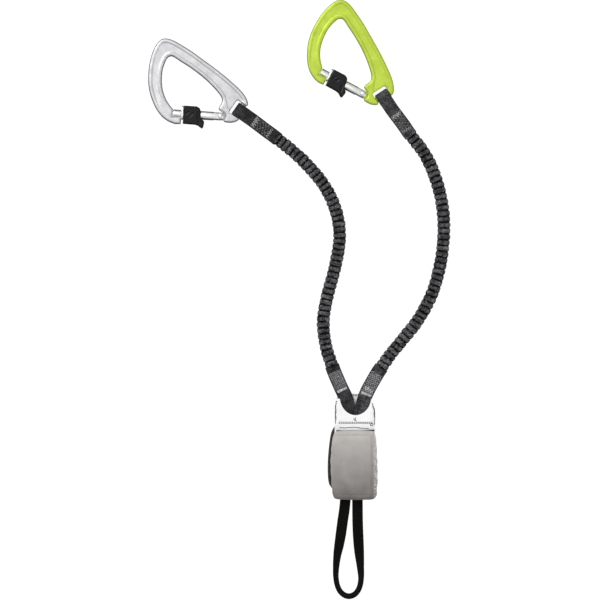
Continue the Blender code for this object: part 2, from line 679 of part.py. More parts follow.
def slot_bar_place(side):
    """The middle of the slot bar, on which the arm's route starts."""
    start, after = [Vector(point) for point in ARM_ROUTES[side][:2]]
    heading = (after - start).normalized()
    return start + Vector((heading.y, -heading.x, 0)) * SLOT_BAR_SHIFTS[side]


def arm_path(side):
    """The arm's middle line from the slot bar to the end in the tab.

    It is straight off the bar and, for one width of the sheath, at both ends of the sheath.
    """
    points = [Vector(point) for point in ARM_ROUTES[side]]
    lead = (points[1] - points[0]).normalized()
    smooth = [points[0], *smooth_path(points[1:], ROUTE_STEPS, lead=lead)]
    total = length_of(smooth)
    enter, leave = UPPER_STRAP_LENGTH, total - LOWER_STRAP_LENGTH
    straight, lap = 2 * SHEATH_HALF_WIDTH, 2 * STRAP_STEP
    return [*stretch(smooth, 0, enter - lap, ROUTE_STEPS),
            *stretch(smooth, enter + straight, leave - straight, 6 * ROUTE_STEPS),
            *stretch(smooth, leave + lap, total, ROUTE_STEPS)]


def inside_sheath(path, overrun, count):
    """Evenly spaced points along the stretch of the arm that the sheath covers."""
    start = UPPER_STRAP_LENGTH + FIT - overrun
    end = length_of(path) - LOWER_STRAP_LENGTH - FIT + overrun
    return stretch(path, start, end, count)


def strap(path, start, end, width):
    """Two plies of webbing sewn flat, along a stretch of the path."""
    count = max(round((end - start) / STRAP_STEP), 2)
    section = cut_corners(width / 2, SEWN / 2, STRAP_CHAMFER)
    return swept(stretch(path, start, end, count), section)


def upper_loop(path):
    """Webbing round the slot bar, closing into the sewn strap."""
    reach = math.degrees(math.acos(LOOP_OUTER_RADIUS / math.hypot(LOOP_TAPER, SEWN / 2)))
    tangent = reach + math.degrees(math.atan2(SEWN / 2, LOOP_TAPER))
    half = SEWN / 2 - TUCK
    outer = arc((0, 0), LOOP_OUTER_RADIUS, tangent, 360 - tangent, steps=14)
    outer += [(LOOP_TAPER, -half), (LOOP_TAIL, -half), (LOOP_TAIL, half), (LOOP_TAPER, half)]
    inner = arc((0, 0), LOOP_INNER_RADIUS, tangent, 360 - tangent, steps=14)
    inner.append((LOOP_INNER_RADIUS / math.cos(math.radians(tangent)), 0))
    loop = plate(outer, WEBBING_WIDTH - 2 * TUCK, LOOP_EDGE, holes=(inner,))
    along = (path[1] - path[0]).normalized()
    up = Vector((0, 0, 1))
    turn = Matrix((along, up, along.cross(up))).transposed().to_4x4()
    loop.transform(Matrix.Translation(path[0]) @ turn)
    return combined("UNION", loop, strap(path, LOOP_TAPER, UPPER_STRAP_LENGTH, WEBBING_WIDTH))


def arm_sheath(path):
    """Elastic sheath: gathered webbing, one rib after another, with a flat bore."""
    ridge = inside_sheath(path, 0, 2 * RIBS)
    radii = [1 if number % 2 else VALLEY_SHARE for number in range(len(ridge))]
    skin = swept(ridge, oval(SHEATH_HALF_WIDTH, SHEATH_HALF_HEIGHT, sides=10), radii)
    bore_section = oval(BORE_HALF_WIDTH, BORE_HALF_HEIGHT, sides=8)
    bore = swept(inside_sheath(path, OVERRUN, BORE_STEPS), bore_section)
    return combined("DIFFERENCE", skin, bore)


def arm_core(path):
    """Elastic band through the sheath's bore."""
    section = oval(BORE_HALF_WIDTH - FIT, BORE_HALF_HEIGHT - FIT, sides=8)
    return swept(inside_sheath(path, 0, BORE_STEPS), section)


# Energy absorber

def pouch_outline(inset):
    """The pouch seen from the front: rounded corners, slightly barrelled."""
    half_x, half_y = POUCH_WIDTH / 2 - inset, POUCH_LENGTH / 2 - inset
    outline = rounded_rectangle((-half_x, -half_y), (half_x, half_y), POUCH_ROUNDING - inset)
    sag = 1 - POUCH_SAG_SHARE
    return [(x * (1 - sag * (y / half_y) ** 2), y) for x, y in outline]


def pouch_cover():
    """Fabric cover, open at the back, with a slot for the tab and one for the tie-in loop."""
    shell = plate(pouch_outline(0), 2 * POUCH_TOP, POUCH_EDGE, rounds=2)
    hollow = plate(pouch_outline(POUCH_WALL), 2 * (POUCH_TOP - POUCH_WALL), POUCH_EDGE - POUCH_WALL,
                   rounds=2)
    back = box((-POUCH_WIDTH, -POUCH_LENGTH, -2 * POUCH_TOP),
               (POUCH_WIDTH, POUCH_LENGTH, PANEL_THICKNESS + FIT))
    tab_half = TAB_HALF_WIDTH + FIT
    tab_slot = box((TAB_CENTRE - tab_half, 0, STRAP_LEVEL - TAB_HALF_HEIGHT - FIT),
                   (TAB_CENTRE + tab_half, POUCH_LENGTH, STRAP_LEVEL + TAB_HALF_HEIGHT + FIT))
    left, right = TIE_ROUTE[0][0], TIE_ROUTE[-1][0]
    tie_half = TIE_THICKNESS / 2 + FIT
    tie_slot = box((left - TIE_WIDTH / 2 - FIT, -POUCH_LENGTH, STRAP_LEVEL - tie_half),
                   (right + TIE_WIDTH / 2 + FIT, 0, STRAP_LEVEL + tie_half))
    return combined("DIFFERENCE", shell, hollow, back, tab_slot, tie_slot)


def back_panel():
    """Flat panel behind the pouch, the face that the absorber rests on."""
    outline = [(x * POUCH_WIDTH, y * POUCH_LENGTH) for x, y in PANEL_SHARES]
    panel = plate(outline, PANEL_THICKNESS, PANEL_EDGE)
    return moved(panel, Matrix.Translation((0, 0, PANEL_THICKNESS / 2)))


def closure_tape(level):
    """One half of the closure under the pouch's left side."""
    left = TAPE_INSET - POUCH_WIDTH / 2
    outline = rounded_rectangle((left, -TAPE_LENGTH / 2), (left + TAPE_WIDTH, TAPE_LENGTH / 2),
                                TAPE_WIDTH / 4)
    tape = plate(outline, TAPE_THICKNESS, 0)
    return moved(tape, Matrix.Translation((0, 0, level + TAPE_THICKNESS / 2)))


def tear_webbing():
    """Long webbing folded to and fro and stitched, which tears open under load."""
    height = PACK_PITCH * (PACK_PLIES - 1) + PACK_PLY
    low = STRAP_LEVEL - height / 2
    fold = PACK_LENGTH / 2
    pack = box((-PACK_WIDTH / 2, -fold, low), (PACK_WIDTH / 2, fold, low + height))
    gaps = []
    for number in range(PACK_PLIES - 1):
        level = low + PACK_PLY + number * PACK_PITCH
        reach = fold - PACK_PLY
        near, far = (-reach, fold + OVERRUN) if number % 2 else (-fold - OVERRUN, reach)
        gaps.append(box((-PACK_WIDTH, near, level),
                        (PACK_WIDTH, far, level + PACK_PITCH - PACK_PLY)))
    return combined("DIFFERENCE", pack, *gaps)


def tab_outline():
    """The tab seen from the front."""
    length = TAB_BACK_TOP - TAB_BOTTOM
    return [(TAB_CENTRE + x * TAB_HALF_WIDTH, TAB_BOTTOM + y * length) for x, y in TAB_SHARES]


def tab_front():
    """Front ply of the white tab, curved down at its sides, with a scooped neck."""
    top = TAB_HALF_HEIGHT - TAB_CLOTH / 2
    bend = [(TAB_FLAT_HALF_WIDTH + (TAB_HALF_WIDTH - TAB_FLAT_HALF_WIDTH) * math.sin(angle),
             TAB_SIDE_LEVEL + (top - TAB_SIDE_LEVEL) * math.cos(angle))
            for angle in (math.pi / 2 * step / 6 for step in range(7))]
    line = [(-x, y) for x, y in reversed(bend)] + bend
    above = beside(line, -TAB_CLOTH / 2)
    below = beside(line, TAB_CLOTH / 2)
    length = TAB_FRONT_TOP - TAB_BOTTOM
    ply = plate([*above, *reversed(below)], length, 0)
    ply.transform(Matrix.Rotation(math.pi / 2, 4, "X"))
    ply.transform(Matrix.Translation((TAB_CENTRE, TAB_BOTTOM + length / 2, STRAP_LEVEL)))
    scoop = bar(1, (0, 0, -1), (0, 0, 1), sides=40)
    scoop.transform(Matrix.Diagonal((SCOOP_HALF_WIDTH, SCOOP_DEPTH, POUCH_TOP, 1)))
    scoop.transform(Matrix.Translation((TAB_CENTRE + SCOOP_PLACE, SCOOP_LEVEL, STRAP_LEVEL)))
    shaped = combined("INTERSECT", ply, plate(tab_outline(), 2 * POUCH_TOP, 0))
    return combined("DIFFERENCE", shaped, scoop)


def tab_back():
    """Back ply of the white tab, behind the straps."""
    level = STRAP_LEVEL - TAB_HALF_HEIGHT + TAB_CLOTH / 2
    return moved(plate(tab_outline(), TAB_CLOTH, 0), Matrix.Translation((0, 0, level)))


def junction_strap():
    """Short strap that joins both arms to the tear webbing."""
    top = ARM_ROUTES["left"][-1][1] - FIT
    bottom = PACK_LENGTH / 2 + FIT
    centre = (ARM_ROUTES["left"][-1][0] + ARM_ROUTES["right"][-1][0]) / 2
    outline = cut_corners(JUNCTION_WIDTH / 2, JUNCTION_THICKNESS / 2, STRAP_CHAMFER)
    return swept([(centre, top, STRAP_LEVEL), (centre, bottom, STRAP_LEVEL)], outline)


def tie_in_loop():
    """Webbing loop for the harness, flat at the pouch and on edge in its bend."""
    points = [point[:3] for point in TIE_ROUTE]
    route = smooth_path(points, TIE_STEPS)
    twists = []
    for number in range(len(route)):
        part, step = divmod(number, TIE_STEPS)
        before = TIE_ROUTE[part][3]
        after = TIE_ROUTE[min(part + 1, len(TIE_ROUTE) - 1)][3]
        twists.append(math.radians(before + (after - before) * step / TIE_STEPS))
    section = cut_corners(TIE_WIDTH / 2, TIE_THICKNESS / 2, TIE_CHAMFER)
    return swept(route, section, twists=twists)


# Assembly

CARABINER_PIECES = {
    "carabiner_body": (carabiner_body(), None),
    "gate_bar": (gate_bar(), STEEL),
    "gate_rivet": (gate_rivet(), STEEL),
    "gate_plunger": (gate_plunger(), STEEL),
    "gate_spring": (gate_spring(), STEEL),
    "locking_sleeve": (locking_sleeve(), BLACK_PLASTIC),
    "lock_ring": (lock_ring(), SILVER),
    "sleeve_spring": (sleeve_spring(), STEEL),
}
BODY_FINISH = {"left": SILVER, "right": LIME}

for arm_side in ("left", "right"):
    bar_world = slot_bar_place(arm_side)
    carabiner_place = (Matrix.Translation(bar_world)
                       @ Matrix.Rotation(CARABINER_TURN[arm_side], 4, "Z")
                       @ Matrix.Translation(-BAR_PLACE))
    for piece_name, (piece_mesh, piece_finish) in CARABINER_PIECES.items():
        piece(f"{arm_side}_{piece_name}", piece_mesh, piece_finish or BODY_FINISH[arm_side],
              place=carabiner_place)
    arm = arm_path(arm_side)
    piece(f"{arm_side}_upper_loop", upper_loop(arm), BLACK_WEBBING, origin=bar_world)
    piece(f"{arm_side}_arm_sheath", arm_sheath(arm), BLACK_WEBBING)
    piece(f"{arm_side}_arm_core", arm_core(arm), RUBBER)
    lower_start = length_of(arm) - LOWER_STRAP_LENGTH
    piece(f"{arm_side}_lower_strap", strap(arm, lower_start, length_of(arm), LOWER_STRAP_WIDTH),
          BLACK_WEBBING)

piece("pouch_cover", pouch_cover(), GREY_FABRIC)
piece("back_panel", back_panel(), BLACK_WEBBING)
piece("hook_tape", closure_tape(PANEL_THICKNESS + FIT), BLACK_PLASTIC)
piece("loop_tape", closure_tape(PANEL_THICKNESS + TAPE_THICKNESS + 2 * FIT), BLACK_WEBBING)
piece("tear_webbing", tear_webbing(), BLACK_WEBBING)
piece("tab_front", tab_front(), WHITE_FABRIC)
piece("tab_back", tab_back(), WHITE_FABRIC)
piece("junction_strap", junction_strap(), BLACK_WEBBING)
piece("tie_in_loop", tie_in_loop(), BLACK_WEBBING)
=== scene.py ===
"""Looks of the via ferrata lanyard: two ribbed elastic arms, two locking carabiners and an absorber pouch.

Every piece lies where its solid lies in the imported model: metres, +Z up, +Y towards the carabiners.
"""

import math

import bmesh
import bpy
import numpy as np
from mathutils import Matrix, Vector, bvhtree


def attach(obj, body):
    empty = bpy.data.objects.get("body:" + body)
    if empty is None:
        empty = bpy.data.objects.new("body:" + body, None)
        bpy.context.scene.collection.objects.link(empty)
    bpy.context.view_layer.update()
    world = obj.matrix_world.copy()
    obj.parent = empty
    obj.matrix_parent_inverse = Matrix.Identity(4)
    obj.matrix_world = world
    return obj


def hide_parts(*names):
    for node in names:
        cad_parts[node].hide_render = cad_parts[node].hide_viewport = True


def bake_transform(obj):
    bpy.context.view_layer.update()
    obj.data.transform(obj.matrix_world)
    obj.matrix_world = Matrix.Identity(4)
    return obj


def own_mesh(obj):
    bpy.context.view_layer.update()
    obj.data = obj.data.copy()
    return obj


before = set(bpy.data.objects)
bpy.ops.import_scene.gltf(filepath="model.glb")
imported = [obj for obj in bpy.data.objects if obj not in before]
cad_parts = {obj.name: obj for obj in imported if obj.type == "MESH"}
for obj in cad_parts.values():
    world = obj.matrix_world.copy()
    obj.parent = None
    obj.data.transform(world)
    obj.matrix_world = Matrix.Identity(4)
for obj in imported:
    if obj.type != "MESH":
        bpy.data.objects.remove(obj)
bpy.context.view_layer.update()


# Camera, lights and floor
# The photograph is a catalogue picture: the lanyard lies flat on white and is seen from straight above,
# from so far away that nothing narrows with height. The light is soft and comes from the upper left.

PIXEL = 0.0011                  # real size of one of the photograph's pixels
PHOTO_WIDTH = 600 * PIXEL
PHOTO_MIDDLE = Vector((-0.0594, 0.18095, 0.0062))
LENS, SENSOR = 300, 36

camera = bpy.data.objects.new("photo_camera", bpy.data.cameras.new("photo_camera"))
bpy.context.scene.collection.objects.link(camera)
camera.data.lens = LENS
camera.data.sensor_width = SENSOR
camera.data.clip_end = 40
camera.location = PHOTO_MIDDLE + Vector((0, 0, PHOTO_WIDTH * LENS / SENSOR))
bpy.context.scene.camera = camera
bpy.context.scene.view_settings.view_transform = "Standard"


def feed(tree, node, inputs):
    """Gives a node's inputs, by name or in order, another node's output or a value of their own."""
    for socket, value in inputs.items() if isinstance(inputs, dict) else enumerate(inputs):
        if isinstance(value, bpy.types.NodeSocket):
            tree.links.new(value, node.inputs[socket])
        else:
            node.inputs[socket].default_value = value


def add(tree, kind, inputs=(), out=0, **settings):
    """Adds a node with its settings and inputs, and returns one of its outputs, or all for None."""
    made = tree.nodes.new(kind)
    for name, value in settings.items():
        setattr(made, name, value)
    feed(tree, made, inputs)
    return made.outputs if out is None else made.outputs[out]


def linear(hex_colour):
    """A hex colour of the screen as linear red, green, blue and alpha."""
    parts = [int(hex_colour[at:at + 2], 16) / 255 for at in (0, 2, 4)]
    return (*[c / 12.92 if c <= 0.04045 else ((c + 0.055) / 1.055) ** 2.4 for c in parts], 1)


def new_material(name):
    """An empty material with its shader: the tree and the shader."""
    made = bpy.data.materials.new(name)
    made.use_nodes = True
    return made, made.node_tree, made.node_tree.nodes["Principled BSDF"]


# The room glows overhead, a little towards the carabiners, and is dim near the floor
world = bpy.data.worlds.new("white_room")
bpy.context.scene.world = world
world.use_nodes = True
sky = world.node_tree
BRIGHTEST_WAY, DIM_GLOW, FULL_GLOW, GLOW_BLEND = (0.0, 0.22, 0.975), 0.06, 0.62, 0.55
direction = add(sky, "ShaderNodeTexCoord", out="Generated")
upward = add(sky, "ShaderNodeVectorMath", [direction, BRIGHTEST_WAY], out="Value", operation="DOT_PRODUCT")
glow = add(sky, "ShaderNodeMapRange", [upward, 0.0, GLOW_BLEND, DIM_GLOW, FULL_GLOW])
feed(sky, sky.nodes["Background"], {"Color": (1, 1, 1, 1), "Strength": glow})

# Each light's place from the photograph's middle, its size in metres and its power in watts
LIGHTS = (("key_light", (-1.2, 1.4, 1.7), 1.5, 28), ("fill_light", (1.6, -1.0, 1.7), 1.4, 10),
          ("top_light", (-0.3, 0.5, 2.6), 1.6, 4.5))
for light_name, light_place, light_size, light_power in LIGHTS:
    light = bpy.data.objects.new(light_name, bpy.data.lights.new(light_name, "AREA"))
    bpy.context.scene.collection.objects.link(light)
    light.data.size = light_size
    light.data.energy = light_power
    light.location = PHOTO_MIDDLE + Vector(light_place)
    light.rotation_euler = Vector(light_place).to_track_quat("Z", "Y").to_euler()
    light.visible_camera = False

# The paper glows, so that it stays white under the lanyard and keeps only a faint shadow
FLOOR_HALF, FLOOR_DROP = 9, 0.0004
floor_mesh = bpy.data.meshes.new("floor")
floor_mesh.from_pydata([(x * FLOOR_HALF, y * FLOOR_HALF, 0) for x, y in ((-1, -1), (1, -1), (1, 1), (-1, 1))],
                       [], [(0, 1, 2, 3)])
floor = bpy.data.objects.new("floor", floor_mesh)
bpy.context.scene.collection.objects.link(floor)
floor.location.z = -FLOOR_DROP
floor.visible_glossy = False
floor_paper, floor_tree, floor_shader = new_material("white_paper_sweep")
feed(floor_tree, floor_shader, {"Base Color": linear("6a6a6a"), "Roughness": 0.9,
                                "Emission Color": (1, 1, 1, 1), "Emission Strength": 0.97})
floor_mesh.materials.append(floor_paper)


# Ribbed arms
# Each arm is a long webbing tube gathered over a flat elastic, so that it lies in tight ribs about 6 mm apart
# with deep grooves between them, painted dark as painted shade. It is sewn to a plain strap at each end, and
# pulls out under load.

ARM_ROUTES = {
    "left": (
        (-0.1262, 0.3889, 0.00625), (-0.1147, 0.3809, 0.00625), (-0.0980, 0.3684, 0.0058),
        (-0.0850, 0.3589, 0.0050), (-0.0693, 0.3463, 0.0043), (-0.0537, 0.3320, 0.0042),
        (-0.0328, 0.3070, 0.0042), (-0.0201, 0.2799, 0.0042), (-0.0157, 0.2520, 0.0042),
        (-0.0207, 0.2180, 0.0042), (-0.0291, 0.1860, 0.0042), (-0.0338, 0.1580, 0.0043),
        (-0.0314, 0.1330, 0.0052), (-0.0240, 0.1078, 0.0088), (-0.0144, 0.0848, 0.0124),
        (-0.0083, 0.0717, 0.0130), (-0.0066, 0.0590, 0.0130), (-0.0066, 0.0460, 0.0130)),
    "right": (
        (0.03199, 0.40511, 0.00625), (0.0398, 0.3934, 0.00625), (0.0541, 0.3740, 0.0056),
        (0.0641, 0.3593, 0.0049), (0.0761, 0.3444, 0.0043), (0.0858, 0.3256, 0.0042),
        (0.0942, 0.3000, 0.0042), (0.0985, 0.2730, 0.0042), (0.0984, 0.2460, 0.0042),
        (0.0940, 0.2159, 0.0042), (0.0854, 0.1869, 0.0042), (0.0700, 0.1584, 0.0043),
        (0.0515, 0.1350, 0.0052), (0.0336, 0.1125, 0.0082), (0.0203, 0.0912, 0.0118),
        (0.0123, 0.0753, 0.0130), (0.0097, 0.0620, 0.0130), (0.0096, 0.0460, 0.0130)),
}
UPPER_STRAP_LENGTH, LOWER_STRAP_LENGTH = 0.0530, 0.0665
STRAIGHT_ENTRY, STRAP_LAP = 0.0144, 0.0060      # straight stretch where a strap enters, and its sewn lap
SHEATH_HALF_WIDTH, SHEATH_HALF_HEIGHT = 0.0073, 0.0041
SHEATH_GAP = 0.00035                            # room between the sheath's end and the strap
SHEATH_OVERLAP = 0.0022                         # how far the sheath's ends reach over the straps
RIBS, GROOVE_DEPTH = 44, 0.0021
SIDES = ("left", "right")


def smooth_line(points, steps, lead=None):
    """Points on a smooth curve through the given ones, leaving the first along the lead."""
    places = [Vector(point) for point in points]
    ways = [lead, *[(c - a).normalized() for a, c in zip(places, places[2:])], None]
    line = []
    for number, (start, end) in enumerate(zip(places, places[1:])):
        chord = end - start
        leave = ways[number] or chord.normalized()
        arrive = ways[number + 1] or chord.normalized()
        a, b = start + leave * chord.length / 3, end - arrive * chord.length / 3
        for step in range(steps):
            t = step / steps
            line.append(start * (1 - t) ** 3 + a * 3 * t * (1 - t) ** 2
                        + b * 3 * t * t * (1 - t) + end * t ** 3)
    return [*line, places[-1]]


def stretch(line, start, end, count):
    """Evenly spaced points of the line between two distances along it, as an array."""
    spots = np.array(line, float)
    marks = np.concatenate(([0], np.cumsum(np.linalg.norm(np.diff(spots, axis=0), axis=1))))
    wanted = np.linspace(start, end, count + 1)
    return np.stack([np.interp(wanted, marks, spots[:, axis]) for axis in range(3)], axis=1)


def length_of(line):
    """The length of a line of points."""
    return float(np.linalg.norm(np.diff(np.array(line, float), axis=0), axis=1).sum())


def arm_line(side):
    """The arm's middle line, straight where a strap enters the sheath, as in the solids."""
    points = [Vector(point) for point in ARM_ROUTES[side]]
    smooth = [points[0], *smooth_line(points[1:], 12, lead=(points[1] - points[0]).normalized())]
    total = length_of(smooth)
    leave = total - LOWER_STRAP_LENGTH
    return np.concatenate([
        stretch(smooth, 0, UPPER_STRAP_LENGTH - STRAP_LAP, 12),
        stretch(smooth, UPPER_STRAP_LENGTH + STRAIGHT_ENTRY, leave - STRAIGHT_ENTRY, 72),
        stretch(smooth, leave + STRAP_LAP, total, 12)])


def new_tree(name, sizes):
    """An empty geometry tree with named inputs for its sizes and its material."""
    tree = bpy.data.node_groups.new(name, "GeometryNodeTree")
    new_socket = tree.interface.new_socket
    new_socket("Geometry", in_out="INPUT", socket_type="NodeSocketGeometry")
    for label, value in sizes.items():
        kind = "NodeSocketInt" if isinstance(value, int) else "NodeSocketFloat"
        new_socket(label, in_out="INPUT", socket_type=kind).default_value = value
    new_socket("Material", in_out="INPUT", socket_type="NodeSocketMaterial")
    new_socket("Geometry", in_out="OUTPUT", socket_type="NodeSocketGeometry")
    return tree, add(tree, "NodeGroupInput", out=None)


def end_tree(tree, given, geometry):
    """Shades the geometry smooth, realizes it and gives it its material."""
    smooth = add(tree, "GeometryNodeSetShadeSmooth", {"Geometry": geometry})
    real = add(tree, "GeometryNodeRealizeInstances", {"Geometry": smooth})
    painted = add(tree, "GeometryNodeSetMaterial", {"Geometry": real, "Material": given["Material"]})
    add(tree, "NodeGroupOutput", [painted], out=None)


def show(name, mesh):
    """A new object at the origin with that mesh."""
    made = bpy.data.objects.new(name, mesh)
    bpy.context.scene.collection.objects.link(made)
    return made


def grown(name, points, edges, tree, finish, sizes=None):
    """The plain mesh object that a geometry tree makes from points and edges."""
    base = bpy.data.meshes.new(name)
    base.from_pydata([tuple(point) for point in points], edges, [])
    seed = show(name + "_base", base)
    grow = seed.modifiers.new("grow", "NODES")
    grow.node_group = tree
    values = {"Material": finish, **(sizes or {})}
    for item in tree.interface.items_tree:
        if item.in_out == "INPUT" and item.name in values:
            grow[item.identifier] = values[item.name]
    graph = bpy.context.evaluated_depsgraph_get()
    mesh = bpy.data.meshes.new_from_object(seed.evaluated_get(graph), depsgraph=graph)
    bpy.data.objects.remove(seed)
    return show(name, mesh)


def sheath_tree():
    """Gathered tube: an oval carried along the line, drawn in at every groove."""
    tree, given = new_tree("gathered_sheath", {
        "Rib Length": 0.0063, "Half Width": 0.0073, "Half Height": 0.0041,
        "Groove Depth": 0.0015, "Seed": 3})
    # The line is cut into twelve steps for each rib, and remembers its middle and its length
    line = add(tree, "GeometryNodeMeshToCurve", [given["Geometry"]])
    line = add(tree, "GeometryNodeSetCurveNormal", [line], mode="Z_UP")
    ring = add(tree, "ShaderNodeMath", [given["Rib Length"], 12.0], operation="DIVIDE")
    line = add(tree, "GeometryNodeResampleCurve", {"Curve": line, "Length": ring}, mode="LENGTH")
    place = add(tree, "GeometryNodeInputPosition")
    spline = add(tree, "GeometryNodeSplineParameter", out=None)
    line = add(tree, "GeometryNodeStoreNamedAttribute",
               {"Geometry": line, "Name": "middle", "Value": place}, data_type="FLOAT_VECTOR")
    line = add(tree, "GeometryNodeStoreNamedAttribute",
               {"Geometry": line, "Name": "along", "Value": spline["Length"]})
    # The oval knows how far each of its points is round towards the other side, for the weave
    oval = add(tree, "GeometryNodeCurvePrimitiveCircle", {"Resolution": 40})
    turn = add(tree, "ShaderNodeMath", [spline["Factor"], 2.0, -1.0], operation="MULTIPLY_ADD")
    fold = add(tree, "ShaderNodeMath", [turn], operation="ABSOLUTE")
    oval = add(tree, "GeometryNodeStoreNamedAttribute", {"Geometry": oval, "Name": "around", "Value": fold})
    flat = add(tree, "ShaderNodeCombineXYZ", [given["Half Width"], given["Half Height"], 1.0])
    oval = add(tree, "GeometryNodeTransform", {"Geometry": oval, "Scale": flat})
    tube = add(tree, "GeometryNodeCurveToMesh", {"Curve": line, "Profile Curve": oval, "Fill Caps": True})
    middle = add(tree, "GeometryNodeInputNamedAttribute", {"Name": "middle"}, data_type="FLOAT_VECTOR")
    along = add(tree, "GeometryNodeInputNamedAttribute", {"Name": "along"})
    # Ribs are counted along the line, and a slow waver makes them slant and differ in length
    ribs = add(tree, "ShaderNodeMath", [along, given["Rib Length"]], operation="DIVIDE")
    spot = add(tree, "ShaderNodeVectorMath", {0: place, "Scale": 125.0}, operation="SCALE")
    waver = add(tree, "ShaderNodeTexNoise", {"Vector": spot, "W": given["Seed"], "Detail": 2.0},
                noise_dimensions="4D")
    waver = add(tree, "ShaderNodeMath", [waver, 0.95, ribs], operation="MULTIPLY_ADD")
    phase = add(tree, "ShaderNodeMath", [waver], operation="FRACT")
    swing = add(tree, "ShaderNodeMath", [phase, math.pi], operation="MULTIPLY")
    swing = add(tree, "ShaderNodeMath", [swing], operation="SINE")
    # Each rib stands up to a height of its own, and the grooves between are narrow and flat
    number = add(tree, "ShaderNodeMath", [waver], operation="FLOOR")
    chance = add(tree, "ShaderNodeTexWhiteNoise", {"W": number}, out="Value", noise_dimensions="1D")
    full = add(tree, "ShaderNodeMapRange", [chance, 0.0, 1.0, 0.74, 1.06])
    crest = add(tree, "ShaderNodeMapRange", [swing, 0.18, 0.74, 0.0, full], interpolation_type="SMOOTHSTEP")
    tube = add(tree, "GeometryNodeStoreNamedAttribute", {"Geometry": tube, "Name": "crest", "Value": crest})
    # Puckers of about 3 mm roughen the crests, and the tube's narrow edges are drawn in less
    fine = add(tree, "ShaderNodeVectorMath", {0: place, "Scale": 330.0}, operation="SCALE")
    pucker = add(tree, "ShaderNodeTexNoise", {"Vector": fine, "Detail": 2.0})
    lift = add(tree, "ShaderNodeMath", [pucker, 0.8, -0.40], operation="MULTIPLY_ADD")
    drawn = add(tree, "ShaderNodeMath", [crest, 1.0], operation="SUBTRACT")
    drawn = add(tree, "ShaderNodeMath", [drawn, lift], operation="ADD")
    drawn = add(tree, "ShaderNodeMath", [drawn, given["Groove Depth"]], operation="MULTIPLY")
    outward = add(tree, "ShaderNodeVectorMath", [place, middle], operation="SUBTRACT")
    outward = add(tree, "ShaderNodeVectorMath", [outward], operation="NORMALIZE")
    rise = add(tree, "ShaderNodeSeparateXYZ", [outward], out="Z")
    rise = add(tree, "ShaderNodeMath", [rise], operation="ABSOLUTE")
    face = add(tree, "ShaderNodeMapRange", [rise, 0.1, 0.7, 0.55, 1.0])
    drawn = add(tree, "ShaderNodeMath", [drawn, face], operation="MULTIPLY")
    move = add(tree, "ShaderNodeVectorMath", {0: outward, "Scale": drawn}, operation="SCALE")
    tube = add(tree, "GeometryNodeSetPosition", {"Geometry": tube, "Offset": move})
    end_tree(tree, given, tube)
    return tree


YARN_PITCH, ROW_PITCH, HERRINGBONE = 0.0012, 0.0010, 0.0024


def webbing_material(name, dark, light, relief, painted_groove_shade=False):
    """Woven polyamide webbing: dark matt yarns in a herringbone, whose round backs catch the light and are
    also painted lighter, as painted highlights.

    The yarns are drawn 1.2 mm wide, coarser than real, because finer ones would not show.
    """
    made, tree, shader = new_material(name)
    run = add(tree, "ShaderNodeAttribute", out="Fac", attribute_name="along")
    across = add(tree, "ShaderNodeAttribute", out="Fac", attribute_name="around")
    zigzag = add(tree, "ShaderNodeMath", [across, HERRINGBONE], operation="PINGPONG")
    slant = add(tree, "ShaderNodeMath", [run, zigzag], operation="ADD")
    turns = add(tree, "ShaderNodeMath", [slant, 2 * math.pi / YARN_PITCH], operation="MULTIPLY")
    ridge = add(tree, "ShaderNodeMath", [turns], operation="SINE")
    rows = add(tree, "ShaderNodeMath", [across, 2 * math.pi / ROW_PITCH], operation="MULTIPLY")
    row = add(tree, "ShaderNodeMath", [rows], operation="SINE")
    weave = add(tree, "ShaderNodeMath", [ridge, row], operation="ADD")
    place = add(tree, "ShaderNodeTexCoord", out="Object")
    specks = add(tree, "ShaderNodeTexNoise", {"Vector": place, "Scale": 620.0, "Detail": 3.0})
    cloud = add(tree, "ShaderNodeTexNoise", {"Vector": place, "Scale": 110.0, "Detail": 2.0})
    # The yarns' backs and fine specks are painted lighter, as painted highlights and glints; the slow cloud
    # is random tone
    mixed = add(tree, "ShaderNodeMath", [weave, 0.13, specks], operation="MULTIPLY_ADD")
    mixed = add(tree, "ShaderNodeMath", [cloud, 0.7, mixed], operation="MULTIPLY_ADD")
    shade = add(tree, "ShaderNodeMapRange", [mixed, 0.66, 1.20, 0.0, 1.0], interpolation_type="SMOOTHSTEP")
    colour = add(tree, "ShaderNodeMix", {0: shade, 6: linear(dark), 7: linear(light)}, out=2,
                 data_type="RGBA")
    # Gathered webbing is painted nearly black down in its grooves, as painted shade
    if painted_groove_shade:
        crest = add(tree, "ShaderNodeAttribute", out="Fac", attribute_name="crest")
        painted_groove_shade_mask = add(tree, "ShaderNodeMapRange", [crest, 0.25, 0.72, 0.0, 1.0])
        colour = add(tree, "ShaderNodeMix", {0: painted_groove_shade_mask, 6: linear("020202"), 7: colour}, out=2,
                     data_type="RGBA")
    bump = add(tree, "ShaderNodeBump", {"Height": weave, "Strength": relief, "Distance": 0.0003})
    feed(tree, shader, {"Base Color": colour, "Normal": bump, "Roughness": 0.8, "Specular IOR Level": 0.15,
                        "Sheen Weight": 0.06, "Sheen Roughness": 0.4, "Sheen Tint": linear("8c8c90")})
    return made


